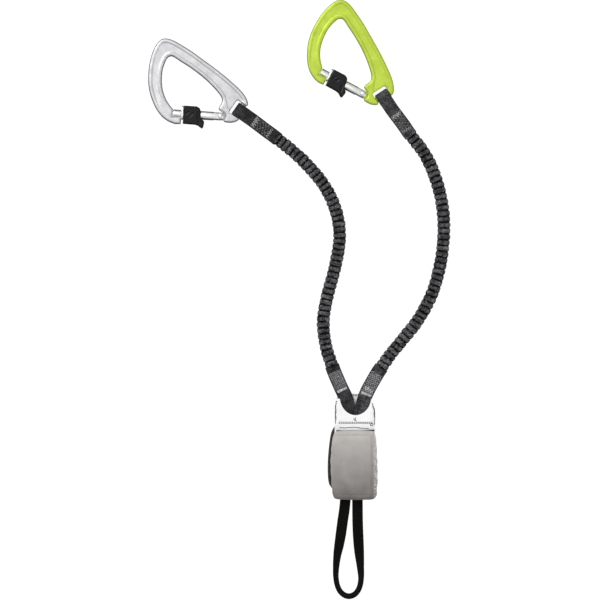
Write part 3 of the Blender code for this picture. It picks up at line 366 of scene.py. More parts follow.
SHEATH_TREE = sheath_tree()
GATHERED_WEBBING = webbing_material("gathered_polyamide_webbing", "202021", "a4a4a8", relief=0.7,
                                    painted_groove_shade=True)
arm_lines = {side: arm_line(side) for side in SIDES}
for side in SIDES:
    arm_length = length_of(arm_lines[side])
    sheath_start = UPPER_STRAP_LENGTH + SHEATH_GAP
    sheath_end = arm_length - LOWER_STRAP_LENGTH - SHEATH_GAP
    ridge = stretch(arm_lines[side], sheath_start - SHEATH_OVERLAP, sheath_end + SHEATH_OVERLAP, 240)
    sheath = grown(side + "_gathered_sheath", ridge, [(n, n + 1) for n in range(len(ridge) - 1)],
                   SHEATH_TREE, GATHERED_WEBBING,
                   {"Rib Length": (sheath_end - sheath_start) / RIBS, "Half Width": SHEATH_HALF_WIDTH,
                    "Half Height": SHEATH_HALF_HEIGHT, "Groove Depth": GROOVE_DEPTH})
    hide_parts(side + "_arm_sheath", side + "_arm_core")
    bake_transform(sheath)


# Straps at both ends of the arms
# Above each sheath the webbing runs round the carabiner's slot bar and is sewn to itself, and below it two
# plies lie sewn together. The plies are flat woven tape with rounded selvedges, held by zigzag bar-tacks.

SLOT_BARS = {"left": Vector((-0.12585, 0.3894, 0.00625)), "right": Vector((0.0316, 0.40485, 0.00625))}
PLY, PLY_GAP = 0.00188, 0.00005                 # one ply's thickness, and the room beside the next
UPPER_HALF, LOWER_HALF = 0.0076, 0.0079         # half the webbing's width above and below the sheath
LOOP_RADIUS = 0.0037 + PLY / 2
LOOP_TAPER, LOOP_CLOSED = 0.0130, 0.0170         # where the loop narrows, and where its plies lie flat
SELVEDGE = ((0.86, 0.88), (0.74, 1.0), (0.4, 1.0), (0.0, 1.0), (-0.4, 1.0), (-0.74, 1.0), (-0.86, 0.88))


def ply_section(half_width, thickness):
    """Outline of one ply of webbing with rounded edges, and a shallow dip beside each selvedge."""
    r = thickness / 2
    points = []
    for side_sign, first in ((1, -90), (-1, 90)):
        for turn in range(0, 181, 30):
            angle = math.radians(first + turn)
            points.append((side_sign * (half_width - r) + r * math.cos(angle), r * math.sin(angle)))
        points += [(side_sign * share * half_width, side_sign * r * level) for share, level in SELVEDGE]
    return points


def headings(line):
    """The direction of a line of points at each of them."""
    ways = np.gradient(np.array(line, float), axis=0)
    return ways / np.linalg.norm(ways, axis=1)[:, None]


def facing_out(mesh, merge=False):
    """The mesh with its faces turned outwards, after its double points are merged where that is wanted."""
    shape = bmesh.new()
    shape.from_mesh(mesh)
    if merge:
        bmesh.ops.remove_doubles(shape, verts=shape.verts, dist=0.000002)
    bmesh.ops.recalc_face_normals(shape, faces=shape.faces)
    shape.to_mesh(mesh)
    shape.free()
    return mesh


def ribbon(name, centres, sides, section, finish):
    """A strip with that section, carried along the centres with its width along the given sides."""
    centres, sides = np.array(centres, float), np.array(sides, float)
    heading = headings(centres)
    sides = sides - heading * (sides * heading).sum(1)[:, None]
    sides /= np.linalg.norm(sides, axis=1)[:, None]
    ups = np.cross(sides, heading)
    section = np.array(section, float)
    count, ring = len(centres), len(section)
    spots = (centres[:, None] + sides[:, None] * section[None, :, :1]
             + ups[:, None] * section[None, :, 1:]).reshape(-1, 3)
    faces = []
    for row in range(count - 1):
        for spot in range(ring):
            after = (spot + 1) % ring
            faces.append((row * ring + spot, row * ring + after,
                          (row + 1) * ring + after, (row + 1) * ring + spot))
    faces.append(tuple(range(ring))[::-1])
    faces.append(tuple(range((count - 1) * ring, count * ring)))
    mesh = bpy.data.meshes.new(name)
    mesh.from_pydata(spots.tolist(), [], faces)
    run = np.concatenate(([0], np.cumsum(np.linalg.norm(np.diff(centres, axis=0), axis=1))))
    for label, values in (("along", np.repeat(run, ring)), ("around", np.tile(section[:, 0], count))):
        mesh.attributes.new(label, "FLOAT", "POINT").data.foreach_set("value", values.astype(np.float32))
    facing_out(mesh).shade_smooth()
    mesh.materials.append(finish)
    return show(name, mesh)


def level_sides(centres):
    """The level direction to the right of the heading at every centre."""
    heading = np.gradient(np.array(centres, float), axis=0)
    return np.stack([heading[:, 1], -heading[:, 0], np.zeros(len(heading))], axis=1)


# The arms' webbing comes in a lit and a shaded copy: the right one is painted lighter as painted light,
# and the left one darker as painted shade
STRAP_WEBBING = {"left": webbing_material("woven_polyamide_webbing", "121213", "545456", relief=0.6),
                 "right": webbing_material("painted_lit_woven_webbing", "1d1d1e", "6c6c6f", relief=0.6)}


def thread_tree():
    """Stitches: every edge given becomes one arched thread, thin where it goes into the cloth."""
    tree, given = new_tree("sewn_thread", {"Thread Radius": 0.0003, "Arch": 0.0003, "Seed": 5})
    line = add(tree, "GeometryNodeMeshToCurve", [given["Geometry"]])
    line = add(tree, "GeometryNodeResampleCurve", {"Curve": line, "Count": 6})
    share = add(tree, "GeometryNodeSplineParameter", out="Factor")
    rest = add(tree, "ShaderNodeMath", [1.0, share], operation="SUBTRACT")
    bow = add(tree, "ShaderNodeMath", [share, rest], operation="MULTIPLY")
    chance = add(tree, "FunctionNodeRandomValue", {2: 3.0, 3: 4.6, "Seed": given["Seed"]}, out=1)
    bow = add(tree, "ShaderNodeMath", [bow, chance], operation="MULTIPLY")
    height = add(tree, "ShaderNodeMath", [bow, given["Arch"]], operation="MULTIPLY")
    lift = add(tree, "ShaderNodeCombineXYZ", {2: height})
    line = add(tree, "GeometryNodeSetPosition", {"Geometry": line, "Offset": lift})
    girth = add(tree, "ShaderNodeMapRange", [bow, 0.0, 0.7, 0.5, 1.0])
    line = add(tree, "GeometryNodeSetCurveRadius", {0: line, "Radius": girth})
    ring = add(tree, "GeometryNodeCurvePrimitiveCircle",
               {"Resolution": 6, "Radius": given["Thread Radius"]})
    thread = add(tree, "GeometryNodeCurveToMesh", {"Curve": line, "Profile Curve": ring, "Fill Caps": True})
    end_tree(tree, given, thread)
    return tree


def thread_material(name, dark, light):
    """Bonded polyester sewing thread: a hard twisted yarn with a slight gloss."""
    made, tree, shader = new_material(name)
    place = add(tree, "ShaderNodeTexCoord", out="Object")
    ply = add(tree, "ShaderNodeTexWave", {"Vector": place, "Scale": 900.0, "Distortion": 2.0}, out=1,
              bands_direction="DIAGONAL")
    cloud = add(tree, "ShaderNodeTexNoise", {"Vector": place, "Scale": 420.0, "Detail": 2.0})
    mixed = add(tree, "ShaderNodeMath", [ply, 0.35, cloud], operation="MULTIPLY_ADD")
    shade = add(tree, "ShaderNodeMapRange", [mixed, 0.40, 0.95, 0.0, 1.0])
    colour = add(tree, "ShaderNodeMix", {0: shade, 6: linear(dark), 7: linear(light)}, out=2,
                 data_type="RGBA")
    bump = add(tree, "ShaderNodeBump", {"Height": ply, "Strength": 0.3, "Distance": 0.0001})
    feed(tree, shader, {"Base Color": colour, "Normal": bump, "Roughness": 0.5})
    return made


THREAD_TREE = thread_tree()
PALE_THREAD = thread_material("pale_grey_thread", "6a6a6c", "c9c9cb")
BRIGHT_THREAD = thread_material("bright_grey_thread", "929295", "efeff1")
DARK_THREAD = thread_material("mid_grey_thread", "343436", "a4a4a8")
GREY_THREAD = thread_material("light_grey_thread", "4a4a4c", "c4c4c8")
DIM_THREAD = thread_material("dark_grey_thread", "262627", "9a9a9e")


def on_strap(line, run, across, lift):
    """A place on the face of a strap: how far along its line, to its right and above it."""
    here, ahead = stretch(line, run, run + 0.0005, 1)
    heading = Vector(ahead - here).normalized()
    right = Vector((heading.y, -heading.x, 0)).normalized()
    return Vector(here) + right * across + right.cross(heading) * lift


def bar_tack(line, start, end, half_width, count, lift):
    """A dense zigzag sewn across a strap: its stitches as pairs of ends."""
    spots = [on_strap(line, end if n % 2 else start, half_width * (2 * n / count - 1), lift)
             for n in range(count + 1)]
    return list(zip(spots, spots[1:]))


def zigzag_row(line, start, end, across, swing, lift):
    """A zigzag seam along a strap: its stitches as pairs of ends."""
    spots = [on_strap(line, start + (end - start) * n / ROW_STITCHES,
                      across + (swing if n % 2 else -swing), lift) for n in range(ROW_STITCHES + 1)]
    return list(zip(spots, spots[1:]))


def sewn(name, stitches, thread, body, radius=0.0003, arch=0.0003):
    """All stitches of one thread on one body, as one piece."""
    points = [spot for pair in stitches for spot in pair]
    edges = [(2 * n, 2 * n + 1) for n in range(len(stitches))]
    seam = grown(name, points, edges, THREAD_TREE, thread, {"Thread Radius": radius, "Arch": arch})
    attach(seam, body)


# The sewn field of each strap, from and to along it
UPPER_FIELDS = {"left": (0.0190, 0.0425), "right": (0.0235, 0.0465)}
LOWER_FIELDS = {"left": (0.0075, 0.0275), "right": (0.0090, 0.0330)}
# Bar tacks: at the field's start or end, from there and to there, half width, and number of stitches
UPPER_TACKS = ((0, 0.0, 0.0034, 0.0062, 11), (0, 0.0012, 0.0052, 0.0056, 7), (1, -0.0030, 0.0, 0.0056, 9))
LOWER_TACKS = {"left": ((1, 0.0, 0.0030, 0.0058, 18),),
               "right": ((1, 0.0, 0.0030, 0.0058, 18), (1, -0.0060, -0.0012, 0.0052, 7))}
# Zigzag rows: their places across, their swing, and how far they end inside the field
UPPER_ROWS, UPPER_SWING, UPPER_CLEAR = (-0.0052, -0.0028, 0.0, 0.0026, 0.0051), 0.0012, (0.0048, 0.0036)
LOWER_ROWS, LOWER_SWING, LOWER_CLEAR = (-0.0054, -0.0027, 0.0, 0.0027, 0.0054), 0.0014, (0, 0.0008)
ROW_STITCHES = 15
UPPER_THREAD, TACK_THREAD, LOWER_THREAD = 0.00028, 0.00036, {"left": 0.00028, "right": 0.00036}
FACE_LIFT = PLY + PLY_GAP
# The right lower strap lies over the left one where they meet in the tab
LEANS = {"left": (0.0004, 0, -0.0010), "right": (-0.0020, 0, 0.0010)}
LEAN_START, LEAN_BLEND = 0.038, 0.016


def tacked(line, field, tacks, lift):
    """The stitches of all bar tacks of a field on one face of its strap."""
    return [pair for end, near, far, half_width, count in tacks
            for pair in bar_tack(line, field[end] + near, field[end] + far, half_width, count, lift)]


for side in SIDES:
    line = arm_lines[side]
    heading = Vector(line[1] - line[0]).normalized()
    start_spot = Vector(line[0])
    flat_part = stretch(line, LOOP_CLOSED, UPPER_STRAP_LENGTH, 40)
    half = PLY / 2 + PLY_GAP
    wrap = [(LOOP_TAPER * share, half + (LOOP_RADIUS - half) * math.cos(math.pi / 2 * share) ** 1.5)
            for share in (0.85, 0.6, 0.4, 0.22)]
    round_part = [(LOOP_RADIUS * math.cos(math.radians(a)), LOOP_RADIUS * math.sin(math.radians(a)))
                  for a in range(78, 283, 12)]
    bend = [*wrap, *round_part, *[(a, -z) for a, z in reversed(wrap)]]
    bend_spots = [start_spot + heading * a + Vector((0, 0, z)) for a, z in bend]
    upper = [Vector(point) + Vector((0, 0, half)) for point in reversed(flat_part)]
    lower = [Vector(point) - Vector((0, 0, half)) for point in flat_part]
    route = [*upper, *bend_spots, *lower]
    right = [Vector(s) for s in level_sides(flat_part)]
    across = Vector((heading.y, -heading.x, 0))
    route_sides = [*reversed(right), *[across] * len(bend_spots), *right]
    loop = ribbon(side + "_upper_webbing", route, route_sides, ply_section(UPPER_HALF, PLY),
                  STRAP_WEBBING[side])
    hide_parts(side + "_upper_loop")
    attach(loop, side + "_arm_end")

    # Many stitches of the upper rows lie too deep in the webbing to show, so only some are made
    tacks, rows = [], []
    first, last = UPPER_FIELDS[side]
    for lift in (FACE_LIFT, -FACE_LIFT):
        tacks += tacked(line, (first, last), UPPER_TACKS, lift)
        for number, across in enumerate(UPPER_ROWS):
            row = zigzag_row(line, first + UPPER_CLEAR[0], last - UPPER_CLEAR[1], across, UPPER_SWING, lift)
            rows += [pair for at, pair in enumerate(row) if (at * 5 + number * 3) % 7 > 3]
    sewn(side + "_upper_bar_tacks", tacks, PALE_THREAD, side + "_arm_end")
    sewn(side + "_upper_rows", rows, DIM_THREAD, side + "_arm_end",
         radius=UPPER_THREAD)

    total = length_of(line)
    low_start = total - LOWER_STRAP_LENGTH
    low_part = stretch(line, low_start, total, 48)
    near = np.clip((np.linspace(0, LOWER_STRAP_LENGTH, 49) - LEAN_START) / LEAN_BLEND, 0, 1) ** 2
    low_part = low_part + near[:, None] * np.array(LEANS[side])
    plies = []
    for number, lift in enumerate((half, -half)):
        plies.append(ribbon(f"{side}_lower_ply_{number}", low_part + np.array((0, 0, lift)),
                            level_sides(low_part), ply_section(LOWER_HALF, PLY), STRAP_WEBBING[side]))
        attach(plies[-1], "absorber")
    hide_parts(side + "_lower_strap")
    tacks, rows = [], []
    first, last = LOWER_FIELDS[side]
    for lift in (FACE_LIFT, -FACE_LIFT):
        tacks += tacked(low_part, (first, last), LOWER_TACKS[side], lift)
        for across in LOWER_ROWS:
            rows += zigzag_row(low_part, first + LOWER_CLEAR[0], last - LOWER_CLEAR[1], across, LOWER_SWING,
                               lift)
    sewn(side + "_lower_bar_tacks", tacks, BRIGHT_THREAD, "absorber",
         radius=TACK_THREAD)
    sewn(side + "_lower_rows", rows, GREY_THREAD, "absorber",
         radius=LOWER_THREAD[side])


# Carabiner bodies
# Each body is hot forged from an aluminium bar, with raised rims round a hollowed web, then tumbled and
# anodised matt: one silver, one lime green. A milled slot at the lower end leaves a round bar for webbing.

GATE_LENGTH, GATE_RADIUS = 0.0525, 0.00475
GATE_OPENING = math.radians(25)
FIT = 0.00035                    # room between pieces that move or slide past each other
BOW_HEIGHT = 0.0820
BODY_THICKNESS, BODY_ROUND = 0.0125, 0.0024
RIM_WIDTH = 0.0034
WEB_RECESS, WEB_WALL = 0.0007, 0.0017            # the web's depth, and the width of the soft wall round it
FACE_LOW, FACE_BLEND = 0.0040, 0.0015            # where the faces begin, above the body's middle
BAR_RADIUS, BAR_ANGLE = 0.0032, math.radians(59.5)
BAR_PLACE = Vector((0.386 * GATE_LENGTH, 0.097 * BOW_HEIGHT, 0))
BAR_ALONG = Vector((math.cos(BAR_ANGLE), math.sin(BAR_ANGLE), 0))
BAR_GRIP = 0.0012                # how far the bar reaches into the metal beside the slot
SLOT_HALF, SLOT_DEPTH, SLOT_REACH, SLOT_ROUND = 0.0084, 0.0089, 0.0165, 0.0018
TONGUE_RADIUS, TONGUE_THICKNESS, TONGUE_ROOT = 0.0040, 0.0034, 0.0075
RIVET_RADIUS = 0.0017
STOP_LENGTH = 0.0052             # the flat that the opened gate comes to rest on
NOSE_GAP, NOSE_RISE, SHELF_LENGTH = 0.0006, 0.0049, 0.0089
TIP_DROP, TIP_GAP = 0.0031, 0.0004
SHELF_END = -0.133               # the shelf's lower end, as a share of the bow's height
SKIN_GRAIN, SKIN_PASSES = 0.00042, 9             # fineness of the even skin, and how often it is eased
CARABINER_TURN = {"left": math.radians(-3.5), "right": math.radians(-27.5)}
# Both rims as shares of the gate's length and the bow's height, and the part of each beside the web
OUTER_SHARES = (
    (-0.952, -0.138), (-1.086, -0.110), (-1.229, -0.051), (-1.352, 0.040), (-1.448, 0.150),
    (-1.516, 0.262), (-1.558, 0.384), (-1.568, 0.512), (-1.558, 0.646), (-1.516, 0.787),
    (-1.434, 0.915), (-1.343, 0.983), (-1.229, 1.000), (-1.086, 0.979), (-0.914, 0.927),
    (-0.690, 0.849), (-0.419, 0.739), (-0.175, 0.638), (0.046, 0.540), (0.238, 0.446),
    (0.390, 0.363), (0.495, 0.285), (0.550, 0.213), (0.545, 0.171), (0.389, -0.012),
    (0.347, -0.046), (0.276, -0.067), (0.181, -0.076), (0.076, -0.070))
INNER_SHARES = (
    (-0.053, 0.122), (-0.004, 0.177), (0.000, 0.238), (-0.065, 0.302), (-0.179, 0.378),
    (-0.335, 0.466), (-0.530, 0.558), (-0.739, 0.643), (-0.937, 0.713), (-1.046, 0.754),
    (-1.120, 0.767), (-1.194, 0.738), (-1.238, 0.671), (-1.274, 0.579), (-1.282, 0.482),
    (-1.270, 0.384), (-1.238, 0.293), (-1.177, 0.201), (-1.101, 0.126))
OUTER_WEB, INNER_WEB = (0.05, 0.855), (0.06, 0.98)
# The web runs out into the slot between the first two of these points, and ends by the hinge at the third
WEB_END_SHARES = ((0.461, 0.154), (0.196, 0.080), (0.125, 0.108))
WEB_FADES = (0.0150, 0.0060)     # length over which it gets shallow at the nose and beside the slot


def mesh_from(made):
    """The welded mesh of an object as it is evaluated. The object goes."""
    graph = bpy.context.evaluated_depsgraph_get()
    mesh = bpy.data.meshes.new_from_object(made.evaluated_get(graph), depsgraph=graph)
    bpy.data.objects.remove(made)
    return facing_out(mesh, merge=True)


def combined(operation, mesh, *tool_meshes):
    """The mesh after one Boolean operation with each of the others."""
    target = show("target", mesh)
    tools = [show("tool", tool) for tool in tool_meshes]
    for tool in tools:
        step = target.modifiers.new("step", "BOOLEAN")
        step.operation = operation
        step.solver = "EXACT"
        step.object = tool
    result = mesh_from(target)
    for tool in tools:
        bpy.data.objects.remove(tool)
    return result


def plate(outline, thickness, rounding=0, rounds=4):
    """A flat outline as a solid about z = 0, with its rims rounded inside the outline."""
    curve = bpy.data.curves.new("outline", "CURVE")
    curve.dimensions = "2D"
    curve.fill_mode = "BOTH"
    curve.extrude = thickness / 2 - rounding
    curve.bevel_depth = rounding
    curve.bevel_resolution = rounds
    curve.offset = -rounding
    spline = curve.splines.new("POLY")
    spline.points.add(len(outline) - 1)
    spline.use_cyclic_u = True
    for point, spot in zip(spline.points, outline):
        point.co = (spot[0], spot[1], 0, 1)
    return mesh_from(show("outline", curve))


def rod(radius, start, end, sides=64):
    """A round bar between two points."""
    mesh = bpy.data.meshes.new("rod")
    shape = bmesh.new()
    along = Vector(end) - Vector(start)
    place = (Matrix.Translation((Vector(start) + Vector(end)) / 2)
             @ along.to_track_quat("Z", "Y").to_matrix().to_4x4())
    bmesh.ops.create_cone(shape, cap_ends=True, segments=sides, radius1=radius, radius2=radius,
                          depth=along.length, matrix=place)
    shape.to_mesh(mesh)
    shape.free()
    return mesh


def block(low, high):
    """A box between two corners."""
    mesh = bpy.data.meshes.new("block")
    shape = bmesh.new()
    bmesh.ops.create_cube(shape, size=1)
    bmesh.ops.scale(shape, vec=Vector(high) - Vector(low), verts=shape.verts)
    bmesh.ops.translate(shape, vec=(Vector(high) + Vector(low)) / 2, verts=shape.verts)
    shape.to_mesh(mesh)
    shape.free()
    return mesh


def arc(centre, radius, first, last, steps):
    """Points of an arc from one angle to another, in degrees."""
    angles = [math.radians(first + (last - first) * step / steps) for step in range(steps + 1)]
    return [(centre[0] + radius * math.cos(a), centre[1] + radius * math.sin(a)) for a in angles]


def beside(line, distance):
    """A flat line moved sideways, to the right of its heading."""
    spots = np.array([(p[0], p[1]) for p in line], float)
    heading = headings(spots)
    return [tuple(p) for p in spots + np.stack([heading[:, 1], -heading[:, 0]], axis=1) * distance]


def rounded_box(low, high, radius, steps=6):
    """A rectangle with rounded corners, as an outline."""
    corners = ((high[0] - radius, high[1] - radius), (low[0] + radius, high[1] - radius),
               (low[0] + radius, low[1] + radius), (high[0] - radius, low[1] + radius))
    return [spot for number, corner in enumerate(corners)
            for spot in arc(corner, radius, 90 * number, 90 * number + 90, steps)]


def softened(mesh, voxel, passes):
    """The mesh as one even skin with softly rounded edges, as tumbling or moulding leaves it."""
    made = show("soft", mesh)
    skin = made.modifiers.new("skin", "REMESH")
    skin.mode = "VOXEL"
    skin.voxel_size = voxel
    skin.use_smooth_shade = True
    ease = made.modifiers.new("ease", "SMOOTH")
    ease.factor = 0.5
    ease.iterations = passes
    mesh = mesh_from(made)
    mesh.shade_smooth()
    return mesh


def rim_line(shares):
    """One of the body's rims as smooth points in metres."""
    return smooth_line([(x * GATE_LENGTH, y * BOW_HEIGHT, 0) for x, y in shares], 5)


def distance_to(spots, line):
    """The distance of every spot to a flat line of points."""
    nearest = np.full(len(spots), 1.0)
    for start, end in zip(line[:-1], line[1:]):
        way = end - start
        part = np.clip((spots - start) @ way / (way @ way), 0, 1)
        nearest = np.minimum(nearest, np.linalg.norm(spots - start - part[:, None] * way, axis=1))
    return nearest


def pressed(mesh, outer, inner):
    """The body with its web pressed in on both faces, between the two rims' inner edges."""
    turn = [np.array((x * GATE_LENGTH, y * BOW_HEIGHT)) for x, y in WEB_END_SHARES]
    outer, inner = np.array(outer), np.array(inner)
    loop = np.vstack([outer, turn, inner])
    spots = np.zeros(len(mesh.vertices) * 3)
    mesh.vertices.foreach_get("co", spots)
    spots = spots.reshape(-1, 3)
    flat = spots[:, :2]
    within = np.zeros(len(flat), bool)
    for start, end in zip(loop, np.roll(loop, -1, axis=0)):
        level = (start[1] > flat[:, 1]) != (end[1] > flat[:, 1])
        with np.errstate(divide="ignore", invalid="ignore"):
            cross = start[0] + (flat[:, 1] - start[1]) / (end[1] - start[1]) * (end[0] - start[0])
        within ^= level & (flat[:, 0] < cross)
    walls = (outer, np.vstack([turn[1:], inner[:1]]), inner)
    depth = np.minimum.reduce([distance_to(flat, wall) for wall in walls]) / WEB_WALL
    for line, fade in zip((np.array([inner[-1], outer[0]]), np.array([outer[-1], turn[0]])), WEB_FADES):
        depth = np.minimum(depth, distance_to(flat, line) / fade)
    depth = np.clip(depth, 0, 1)
    depth = WEB_RECESS * depth ** 2 * (3 - 2 * depth) * within
    high = np.clip((np.abs(spots[:, 2]) - FACE_LOW) / FACE_BLEND, 0, 1)
    spots[:, 2] -= np.sign(spots[:, 2]) * depth * high
    mesh.vertices.foreach_set("co", spots.ravel())
    return mesh


def body_mesh():
    """The forged body in its own place: the gate's pivot at the origin, the nose at -X."""
    outer, inner = rim_line(OUTER_SHARES), rim_line(INNER_SHARES)
    seat = arc((0, 0), GATE_RADIUS + FIT, -50, 90 - math.degrees(GATE_OPENING), 24)
    stop = (seat[-1][0] - STOP_LENGTH * math.cos(GATE_OPENING),
            seat[-1][1] + STOP_LENGTH * math.sin(GATE_OPENING))
    radius, shelf = GATE_LENGTH + NOSE_GAP, -TIP_DROP - TIP_GAP
    nose_angles = [180 - math.degrees(math.asin(level / radius)) for level in (NOSE_RISE, shelf)]
    nose = arc((0, 0), radius, *nose_angles, 4)
    end = SHELF_LENGTH - GATE_LENGTH
    outline = [*[(p[0], p[1]) for p in outer], *seat, stop, *[(p[0], p[1]) for p in inner], *nose,
               (end, shelf), (end, SHELF_END * BOW_HEIGHT)]
    body = plate(outline, BODY_THICKNESS, BODY_ROUND)
    slot = plate(rounded_box((-SLOT_HALF, -SLOT_REACH), (SLOT_HALF, SLOT_DEPTH), SLOT_ROUND), SLOT_REACH)
    slot.transform(Matrix.Translation(BAR_PLACE) @ Matrix.Rotation(BAR_ANGLE, 4, "Z"))
    body = combined("DIFFERENCE", body, slot)
    reach = BAR_ALONG * (SLOT_HALF + BAR_GRIP)
    tongue = [*arc((0, 0), TONGUE_RADIUS, 90, 270, 20), (TONGUE_ROOT, -TONGUE_RADIUS),
              (TONGUE_ROOT, TONGUE_RADIUS)]
    body = combined("UNION", body, rod(BAR_RADIUS, BAR_PLACE - reach, BAR_PLACE + reach),
                    plate(tongue, TONGUE_THICKNESS))
    edges = []
    for rim, (first, last) in ((outer, OUTER_WEB), (inner, INNER_WEB)):
        length = length_of(rim)
        edges.append(beside(stretch(rim, first * length, last * length, 60), RIM_WIDTH))
    body = pressed(softened(body, SKIN_GRAIN, SKIN_PASSES), *edges)
    hole = Vector((0, 0, BODY_THICKNESS))
    return combined("DIFFERENCE", body, rod(RIVET_RADIUS + FIT, -hole, hole))


def anodised_material(name, pale, deep, metal, rough):
    """Anodised aluminium, bead blasted before the bath: a matt, even, slightly satin metal.

    Fine grit of about 0.3 mm breaks up the shine.
    """
    made, tree, shader = new_material(name)
    place = add(tree, "ShaderNodeTexCoord", out="Object")
    grit = add(tree, "ShaderNodeTexNoise", {"Vector": place, "Scale": 3200.0, "Detail": 2.0})
    cloud = add(tree, "ShaderNodeTexNoise", {"Vector": place, "Scale": 120.0, "Detail": 4.0})
    tone = add(tree, "ShaderNodeMapRange", [cloud, 0.3, 0.7, 0.0, 1.0])
    colour = add(tree, "ShaderNodeMix", {0: tone, 6: linear(deep), 7: linear(pale)}, out=2,
                 data_type="RGBA")
    gloss = add(tree, "ShaderNodeMapRange", [cloud, 0.3, 0.7, rough + 0.06, rough - 0.04])
    scratch = add(tree, "ShaderNodeMapping", {"Vector": place, "Scale": (260.0, 1500.0, 260.0)})
    marks = add(tree, "ShaderNodeTexNoise", {"Vector": scratch, "Scale": 1.0, "Detail": 3.0})
    height = add(tree, "ShaderNodeMath", [marks, 0.6, grit], operation="MULTIPLY_ADD")
    bump = add(tree, "ShaderNodeBump", {"Height": height, "Strength": 0.16, "Distance": 0.0002})
    feed(tree, shader, {"Base Color": colour, "Roughness": gloss, "Normal": bump, "Metallic": metal})
    return made


def carabiner_place(side):
    """Where a carabiner lies: its slot bar on the loop's webbing, turned about the vertical."""
    return (Matrix.Translation(SLOT_BARS[side]) @ Matrix.Rotation(CARABINER_TURN[side], 4, "Z")
            @ Matrix.Translation(-BAR_PLACE))


def both_sides(name, mesh, finishes, body, node, slots):
    """The same piece on both carabiners, each in its place, with its finish and slot, and on its body."""
    pieces = []
    for side, finish, slot in zip(SIDES, finishes, slots):
        own = mesh.copy()
        own.transform(carabiner_place(side))
        own.materials.clear()
        own.materials.append(finish)
        piece = show(f"{side}_{name}", own)
        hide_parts(f"{side}_{node}")
        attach(piece, f"{side}_{body}")
        pieces.append(piece)
    return pieces


ANODISED = (anodised_material("silver_anodised_aluminium", "dedee0", "cdcdd0", metal=1.0, rough=0.50),
            anodised_material("lime_anodised_aluminium", "c6de4e", "b6ce42", metal=0.5, rough=0.48))
both_sides("forged_body", body_mesh(), ANODISED, "carabiner", "carabiner_body",
           ("silver_alloy", "lime_alloy"))


# Gates
# The gate is a turned aluminium bar, polished, forked round a tongue on the body and riveted through it.
# It is thin under the sleeve, and its squared tip has a T-shaped stem that drops over the nose.

TIP_LENGTH = 0.0090
SHANK_START, SHANK_RADIUS = 0.0240, 0.00305
CHAMFER = 0.0006
RIVET_SEAT, RIVET_HEAD = 0.0039, 0.0026
FORK_DEPTH = 0.0080              # how far the fork's gap reaches past the pivot
PLUNGER_RADIUS, PLUNGER_START = 0.0022, 0.0200
BEYOND = 0.012                   # how far a cutting tool reaches out of the gate
NOTCH_WALL, NOTCH_SLANT, NOTCH_PLACE = 0.0016, 52, (0, -0.0009, 0.0047)
CRISP = math.radians(48)         # edges sharper than this are kept crisp


def turned(profile, sides):
    """A turned solid about the X axis, from pairs of distance along X and radius."""
    lathe = bpy.data.meshes.new("profile")
    edges = [(number, number + 1) for number in range(len(profile) - 1)]
    lathe.from_pydata([(radius, 0, along) for along, radius in profile], edges, [])
    made = show("lathe", lathe)
    spin = made.modifiers.new("spin", "SCREW")
    spin.axis = "Z"
    spin.steps = spin.render_steps = sides
    spin.use_merge_vertices = True
    spin.merge_threshold = 0.000002
    mesh = mesh_from(made)
    mesh.transform(Matrix.Rotation(math.pi / 2, 4, "Y"))
    return mesh


def eased(mesh, width):
    """The mesh with its sharp edges broken by a small round."""
    made = show("eased", mesh)
    edge = made.modifiers.new("edge", "BEVEL")
    edge.width = width
    edge.segments = 2
    edge.limit_method = "ANGLE"
    edge.angle_limit = math.radians(32)
    edge.harden_normals = False
    mesh = mesh_from(made)
    mesh.shade_smooth()
    mesh.set_sharp_from_angle(angle=CRISP)
    return mesh


def gate_mesh():
    """The gate in its own place: the pivot at the origin, the tip at -X."""
    shank_end = TIP_LENGTH - GATE_LENGTH
    profile = [*arc((0, 0), GATE_RADIUS, 0, 90, 14)]
    profile += [(-SHANK_START + CHAMFER, GATE_RADIUS), (-SHANK_START, GATE_RADIUS - CHAMFER),
                (-SHANK_START, SHANK_RADIUS), (shank_end, SHANK_RADIUS),
                (shank_end, GATE_RADIUS - CHAMFER), (shank_end - CHAMFER, GATE_RADIUS),
                (CHAMFER - GATE_LENGTH, GATE_RADIUS), (-GATE_LENGTH, GATE_RADIUS - CHAMFER),
                (-GATE_LENGTH, 0)]
    profile[0] = (GATE_RADIUS, 0)
    gate = turned(profile, sides=72)
    half = TONGUE_THICKNESS / 2 + FIT
    cutters = [block((-FORK_DEPTH, -BEYOND, -half), (BEYOND, BEYOND, half)),
               rod(PLUNGER_RADIUS, (-PLUNGER_START, 0, 0), (-TONGUE_RADIUS, 0, 0)),
               rod(RIVET_RADIUS + FIT, (0, 0, -BEYOND), (0, 0, BEYOND)),
               block((-GATE_LENGTH - BEYOND, -BEYOND, -BEYOND), (shank_end + FIT, -TIP_DROP, BEYOND))]
    for face in (-1, 1):
        cutters.append(rod(RIVET_HEAD + FIT, (0, 0, face * RIVET_SEAT), (0, 0, face * BEYOND)))
        low, high = sorted((0, face * BEYOND))
        notch = block((-GATE_LENGTH + NOTCH_WALL, -BEYOND, low), (shank_end - NOTCH_WALL, 0, high))
        notch.transform(Matrix.Translation(Vector(NOTCH_PLACE) * Vector((1, 1, face)))
                        @ Matrix.Rotation(math.radians(NOTCH_SLANT * face), 4, "X"))
        cutters.append(notch)
    return eased(combined("DIFFERENCE", gate, *cutters), width=0.00022)


